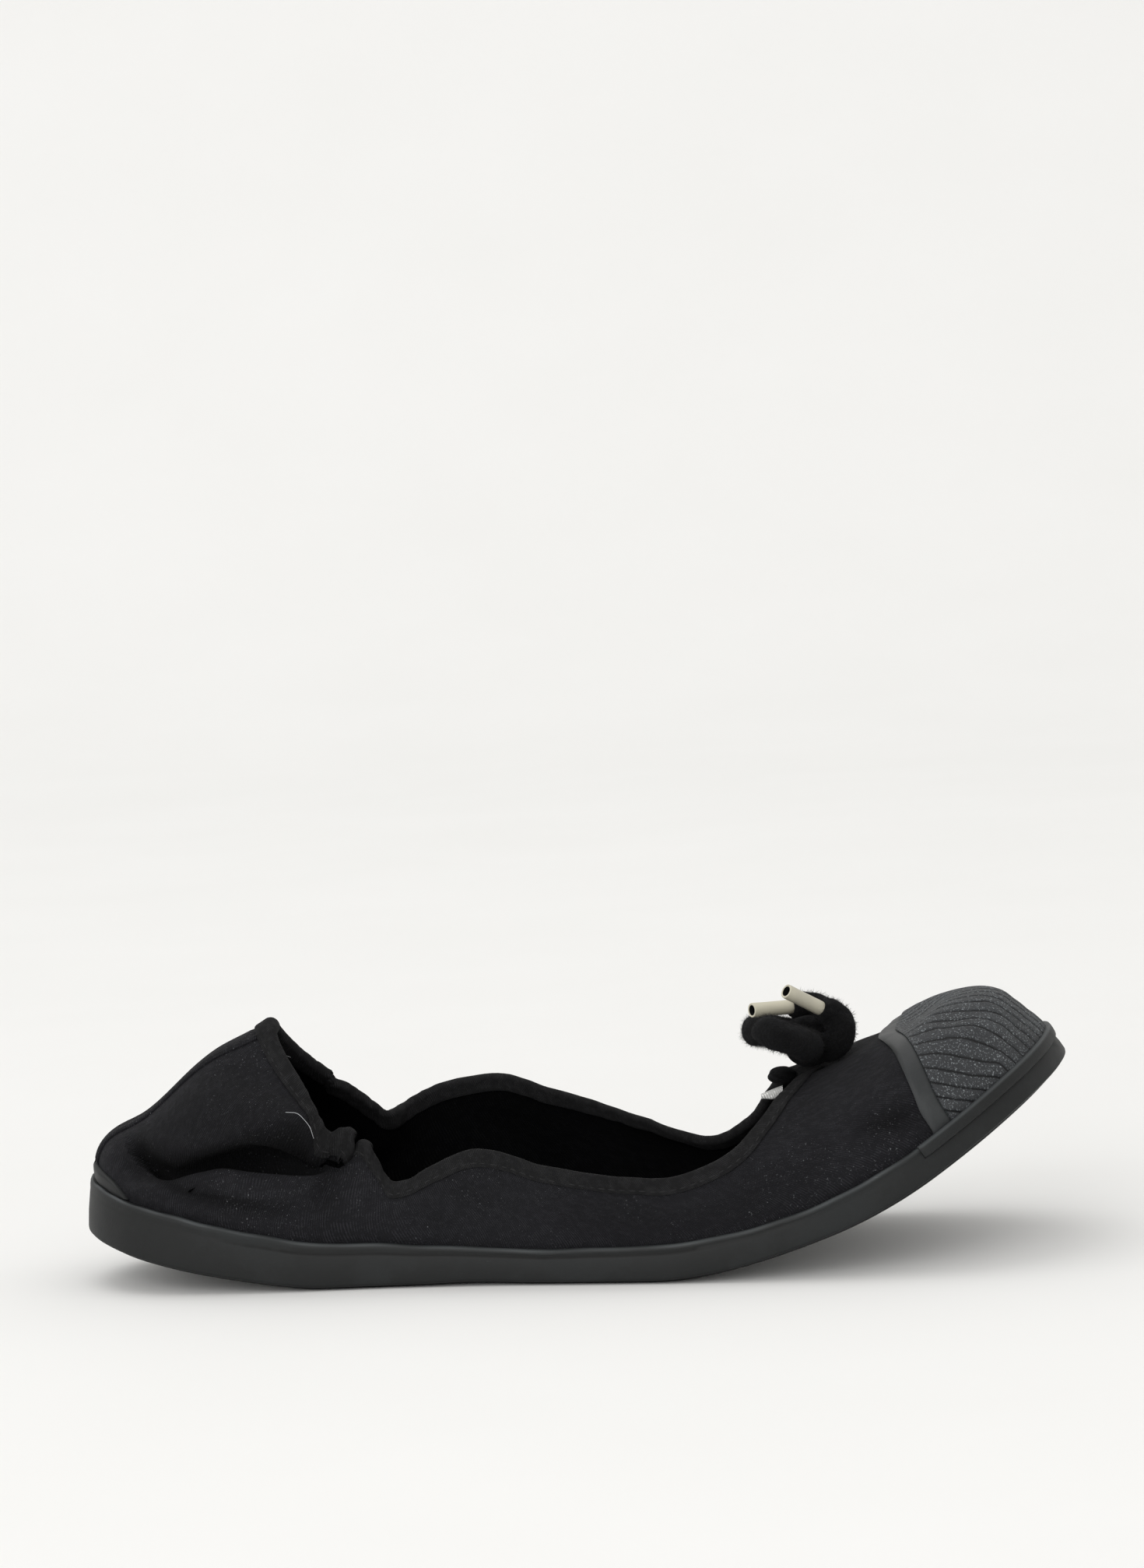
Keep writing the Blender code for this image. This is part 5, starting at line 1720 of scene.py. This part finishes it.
def make_drawcord_end():
    binding = WALL + TAPE_GAP + TAPE_THICK
    behind = binding + GAP + END_BEHIND + END_LONG
    middle = main_wall(0.5, 1.0) + np.array((-behind, END_WIDE, -END_DROP))
    lump = oval(middle, (END_LONG, END_WIDE, END_TALL), 0.06, (48, 28))
    mesh = grid_mesh("drawcord_knot", lump, None, loop_rows=True)
    add_piece("drawcord_knot", mesh, FINISHES["cord"], "bow_cord", "drawcord_end")
    rows = []
    for back in np.linspace(0, 1, 9):
        width = np.interp(back, [r[0] for r in LABEL_SECTIONS], [r[1] for r in LABEL_SECTIONS])
        thick = np.interp(back, [r[0] for r in LABEL_SECTIONS], [r[2] for r in LABEL_SECTIONS])
        width, thick = width * LABEL_WIDE / 2, thick * LABEL_THICK / 2
        away = back * LABEL_LONG
        centre = middle + np.array((-away, 0, -END_TALL - GAP - thick - away * 0.35))
        angle = np.linspace(0, tau, 24, endpoint=False)
        square = (np.abs(np.cos(angle)) ** 4 + np.abs(np.sin(angle)) ** 4) ** -0.25
        ring = np.stack((0 * angle, np.cos(angle) * width * square, np.sin(angle) * thick * square), axis=1)
        rows.append(centre + ring)
    grid = np.array(rows)
    mesh = grid_mesh("inner_label", grid, "even", loop_columns=True, caps=True)
    add_piece("inner_label", mesh, FINISHES["label"], "tab_fabric", "inner_tab")


def make_hairs():
    """Loose pale hairs, each along its own places on the wall."""
    for name, size, places in HAIRS:
        points = off_wall(*smooth_places(places, HAIR_POINTS))
        grid = tube_grid(points, np.full(HAIR_POINTS, size), 6)
        mesh = grid_mesh(name, grid, None, loop_columns=True, caps=True)
        add_piece(name, mesh, FINISHES["hair"], "canvas")


def sew(name, route, slot, spacing, thickness):
    """A row of stitches along a route."""
    thread = {"Length": 0.0019, "Thickness": thickness, "Finish": FINISHES["thread"]}
    grown(name, route_mesh(name, route), TREES["stitches"], slot, Spacing=spacing, **thread)


def make_stitches(settings):
    """The two rows beside the back strip and the row under the collar's tape."""
    low, high = strip_ends()
    rises = np.linspace(low + 0.01, high, 120)
    for name, reach in (("back_stitches_near", 0.0048), ("back_stitches_far", -0.0048)):
        route = off_wall(strip_turns(rises, reach), rises, STRIP_THICK * 0.95)
        sew(name, route, "canvas", 0.0026, 0.00030)
    around = np.linspace(0.0, 1.0, 900)
    low = rise_below_collar(around, TAPE_DEPTH - 0.0005)
    route = off_wall(around, low, settings.tape_proud - 0.00010)
    sew("binding_stitches", route, "binding_tape", 0.0024, 0.00034)


# The add-on's own classes


class FlatSizes(bpy.types.PropertyGroup):
    """Sizes of the flat's looks that a maker would change."""

    ribs: IntProperty(name="Ribs", description="Ribs round the upper", default=420, min=72)
    rows: IntProperty(name="Rows", description="Rows up the upper's wall", default=64, min=12)
    groove_pitch: FloatProperty(
        name="Groove pitch", description="Between the toe cap's grooves, over its ridge",
        default=0.0036, unit="LENGTH",
    )
    groove_depth: FloatProperty(
        name="Groove depth", description="Depth of the toe cap's grooves", default=0.00032,
        unit="LENGTH",
    )
    tape_proud: FloatProperty(
        name="Tape relief", description="How far the binding stands off the canvas", default=0.00062,
        unit="LENGTH",
    )
    cord_radius: FloatProperty(
        name="Cord radius", description="Half the bow cord's thickness with its pile", default=0.0036,
        unit="LENGTH",
    )
    fluff_density: FloatProperty(
        name="Fluff density", description="Loose fibres on each square metre of the cord",
        default=3.2e6,
    )
    weave_pitch: FloatProperty(
        name="Weave pitch", description="Between the ribs of the canvas's twill", default=0.00052,
        unit="LENGTH",
    )


class FlatColours(bpy.types.PropertyGroup):
    """Colours of the flat's finishes."""

    canvas: FloatVectorProperty(
        name="Canvas", description="Dyed cotton", default=(0.0103, 0.0103, 0.0121), subtype="COLOR"
    )
    tape: FloatVectorProperty(
        name="Tape", description="Collar binding", default=(0.0085, 0.0085, 0.0090), subtype="COLOR"
    )
    rubber: FloatVectorProperty(
        name="Rubber", description="Foxing and sole", default=(0.0050, 0.0059, 0.0062), subtype="COLOR"
    )
    cap: FloatVectorProperty(
        name="Toe cap", description="Ribbed rubber", default=(0.0270, 0.0290, 0.0320), subtype="COLOR"
    )
    band: FloatVectorProperty(
        name="Cap band", description="Plain edge band", default=(0.0210, 0.0232, 0.0245), subtype="COLOR"
    )
    cord: FloatVectorProperty(
        name="Cord", description="Bow and drawcord", default=(0.0028, 0.0028, 0.0031), subtype="COLOR"
    )
    aglet: FloatVectorProperty(
        name="Aglet", description="Cord tips", default=(0.56, 0.53, 0.42), subtype="COLOR"
    )


class FLAT_OT_finishes(bpy.types.Operator):
    """Builds the shared node groups and the materials"""

    bl_idname = "flat.finishes"
    bl_label = "Finishes"

    def execute(self, context):
        colours, sizes = context.scene.flat_colours, context.scene.flat_sizes
        pale = (0.30, 0.31, 0.33)
        for label, build in (
            ("twill", build_twill),
            ("lint", build_lint),
            ("grain", build_grain),
            ("scuffs", build_scuffs),
            ("grooves", build_grooves),
        ):
            GROUPS[label] = build()
        for label, name, colour, tint, share, depth, lint, shine in (
            ("canvas", "Canvas twill", colours.canvas, pale, 1.0, 0.00040, 0.85, 0.16),
            ("tape", "Binding tape", colours.tape, pale, 0.8, 0.00016, 0.3, 0.16),
            ("lining", "Sock lining", (0.0012, 0.0012, 0.0014), pale, 1.2, 0.0002, 0.3, 0.04),
            ("label", "Label tape", (0.55, 0.55, 0.54), (0.8, 0.8, 0.8), 1.0, 0.0002, 0.2, 0.16),
        ):
            pitch = sizes.weave_pitch * share
            FINISHES[label] = cloth_finish(name, colour, tint, pitch, depth, lint, shine)
        FINISHES["rubber"] = rubber_finish(
            "Sole rubber", colours.rubber, (0.10, 0.11, 0.115), 0.58, 2100.0, 0.00007, 0.5
        )
        FINISHES["cap"] = rubber_finish(
            "Toe cap rubber", colours.cap, (0.26, 0.285, 0.30), 0.66, 2300.0, 0.00034, 0.6, specks=0.9,
            pitch=sizes.groove_pitch,
        )
        FINISHES["band"] = rubber_finish(
            "Band rubber", colours.band, (0.20, 0.21, 0.21), 0.52, 1800.0, 0.00006, 0.5
        )
        FINISHES["cord"] = cord_finish("Cord pile", colours.cord)
        FINISHES["fluff"] = plain_finish("Loose fibres", tuple(colours.cord), 1.0)
        FINISHES["thread"] = plain_finish("Sewing thread", (0.0065, 0.0065, 0.0075), 0.85)
        FINISHES["hair"] = plain_finish("Pale hair", (0.42, 0.43, 0.45), 0.6)
        FINISHES["aglet"] = plastic_finish("Aglet plastic", colours.aglet, (0.42, 0.40, 0.33))
        TREES["stitches"] = build_stitch_tree()
        TREES["fibres"] = build_fibre_tree()
        return {"FINISHED"}


class FLAT_OT_upper(bpy.types.Operator):
    """Makes the canvas shell"""

    bl_idname = "flat.upper"
    bl_label = "Upper"

    def execute(self, context):
        make_upper(context.scene.flat_sizes)
        return {"FINISHED"}


class FLAT_OT_binding(bpy.types.Operator):
    """Makes the elastic tape round the collar"""

    bl_idname = "flat.binding"
    bl_label = "Collar Binding"

    def execute(self, context):
        make_binding(context.scene.flat_sizes)
        return {"FINISHED"}


class FLAT_OT_sole(bpy.types.Operator):
    """Makes the outsole, the insole, the foxing and its strips"""

    bl_idname = "flat.sole"
    bl_label = "Sole"

    def execute(self, context):
        sole_slab(
            "outsole_rubber", FOXING_THICK + GAP * 0.5, 0.0, SOLE_THICK, SOLE_BEVEL, FINISHES["rubber"],
            "sole_rubber", "outsole",
        )
        low = SOLE_THICK + GAP
        sole_slab(
            "sock_lining", FOXING_THICK + WALL + 1.5 * GAP, low, low + INSOLE_THICK, INSOLE_BEVEL,
            FINISHES["lining"], "footbed", "insole",
        )
        make_foxing()
        make_bumper()
        make_heel_tab()
        return {"FINISHED"}


class FLAT_OT_back_strip(bpy.types.Operator):
    """Makes the strip over the back seam"""

    bl_idname = "flat.back_strip"
    bl_label = "Back Strip"

    def execute(self, context):
        make_back_strip()
        return {"FINISHED"}


class FLAT_OT_toe_cap(bpy.types.Operator):
    """Makes the ribbed toe cap and its plain band"""

    bl_idname = "flat.toe_cap"
    bl_label = "Toe Cap"

    def execute(self, context):
        make_toe(context.scene.flat_sizes)
        return {"FINISHED"}


class FLAT_OT_bow(bpy.types.Operator):
    """Makes the bow's knot, cords, aglets and fluff"""

    bl_idname = "flat.bow"
    bl_label = "Bow"

    def execute(self, context):
        make_bow(context.scene.flat_sizes)
        make_drawcord_end()
        return {"FINISHED"}


class FLAT_OT_stitches(bpy.types.Operator):
    """Sews the stitch rows and lays the loose hairs"""

    bl_idname = "flat.stitches"
    bl_label = "Stitches"

    def execute(self, context):
        make_stitches(context.scene.flat_sizes)
        make_hairs()
        return {"FINISHED"}


class FLAT_OT_stage(bpy.types.Operator):
    """Sets the floor, the lights and the camera"""

    bl_idname = "flat.stage"
    bl_label = "Stage"

    def execute(self, context):
        scene = context.scene
        mesh = bpy.data.meshes.new("floor")
        rows = [(-4.0, 0.0), (1.2, 0.0)]
        rows += [(1.2 + 0.9 * sin(a), 0.9 - 0.9 * cos(a)) for a in np.linspace(0.1, pi / 2, 12)]
        rows.append((2.1, 4.0))
        points = [(x, y, z) for y, z in rows for x in (-4.0, 4.0)]
        faces = [(2 * k, 2 * k + 1, 2 * k + 3, 2 * k + 2) for k in range(len(rows) - 1)]
        mesh.from_pydata(points, [], faces)
        mesh.shade_smooth()
        floor = bpy.data.objects.new("floor", mesh)
        scene.collection.objects.link(floor)
        finish, tree, shader = new_finish("Pale paper")
        grain = noise_node(tree, coordinates(tree, "object"), 9.0, 2.0)
        tone = blend_node(tree, grain, (0.86, 0.86, 0.85), (0.89, 0.89, 0.885))
        fill_shader(tree, shader, {"Base Color": tone, "Roughness": 0.9, "Specular IOR Level": 0.2})
        mesh.materials.append(finish)
        world = bpy.data.worlds.new("studio")
        world.use_nodes = True
        world.node_tree.nodes["Background"].inputs[0].default_value = (1.0, 0.99, 0.97, 1.0)
        world.node_tree.nodes["Background"].inputs[1].default_value = 0.86
        scene.view_settings.view_transform = "Standard"
        scene.world = world
        for name, spot, size, power in (
            ("key", (-0.6, 0.6, 2.4), 1.6, 9.0), ("front", (-0.7, -2.0, 0.9), 1.5, 16.0),
        ):
            light = bpy.data.lights.new(name, "AREA")
            light.size = size
            light.energy = power
            lamp = bpy.data.objects.new(name, light)
            lamp.location = spot
            aim = Vector((0.05, 0.0, 0.03)) - Vector(spot)
            lamp.rotation_euler = aim.to_track_quat("-Z", "Y").to_euler()
            scene.collection.objects.link(lamp)
        view = bpy.data.cameras.new("view")
        view.lens = 120
        view.sensor_width = 36
        view.dof.use_dof = False
        camera = bpy.data.objects.new("view", view)
        camera.location = (0.11312, -1.23688, 0.23427)
        camera.rotation_euler = (1.47376, 0.05306, 0.04347)
        scene.collection.objects.link(camera)
        scene.camera = camera
        return {"FINISHED"}


class FLAT_PT_panel(bpy.types.Panel):
    bl_label = "Ballet Flat"
    bl_idname = "FLAT_PT_panel"
    bl_space_type = "VIEW_3D"
    bl_region_type = "UI"
    bl_category = "Flat"

    def draw(self, context):
        layout = self.layout
        for group in (context.scene.flat_sizes, context.scene.flat_colours):
            column = layout.column()
            for name in group.__annotations__:
                column.prop(group, name)
        for operator in OPERATORS:
            layout.operator(operator.bl_idname)


OPERATORS = (
    FLAT_OT_stage, FLAT_OT_finishes, FLAT_OT_bow, FLAT_OT_sole, FLAT_OT_upper, FLAT_OT_binding,
    FLAT_OT_back_strip, FLAT_OT_toe_cap, FLAT_OT_stitches,
)
CLASSES = (FlatSizes, FlatColours, *OPERATORS, FLAT_PT_panel)


def register():
    for item in CLASSES:
        bpy.utils.register_class(item)
    bpy.types.Scene.flat_sizes = PointerProperty(type=FlatSizes)
    bpy.types.Scene.flat_colours = PointerProperty(type=FlatColours)


def unregister():
    del bpy.types.Scene.flat_colours
    del bpy.types.Scene.flat_sizes
    for item in reversed(CLASSES):
        bpy.utils.unregister_class(item)


def main():
    register()
    bpy.ops.flat.stage()
    bpy.ops.flat.finishes()
    bpy.ops.flat.bow()
    bpy.ops.flat.sole()
    bpy.ops.flat.upper()
    bpy.ops.flat.binding()
    bpy.ops.flat.back_strip()
    bpy.ops.flat.toe_cap()
    bpy.ops.flat.stitches()


if __name__ == "__main__":
    main()
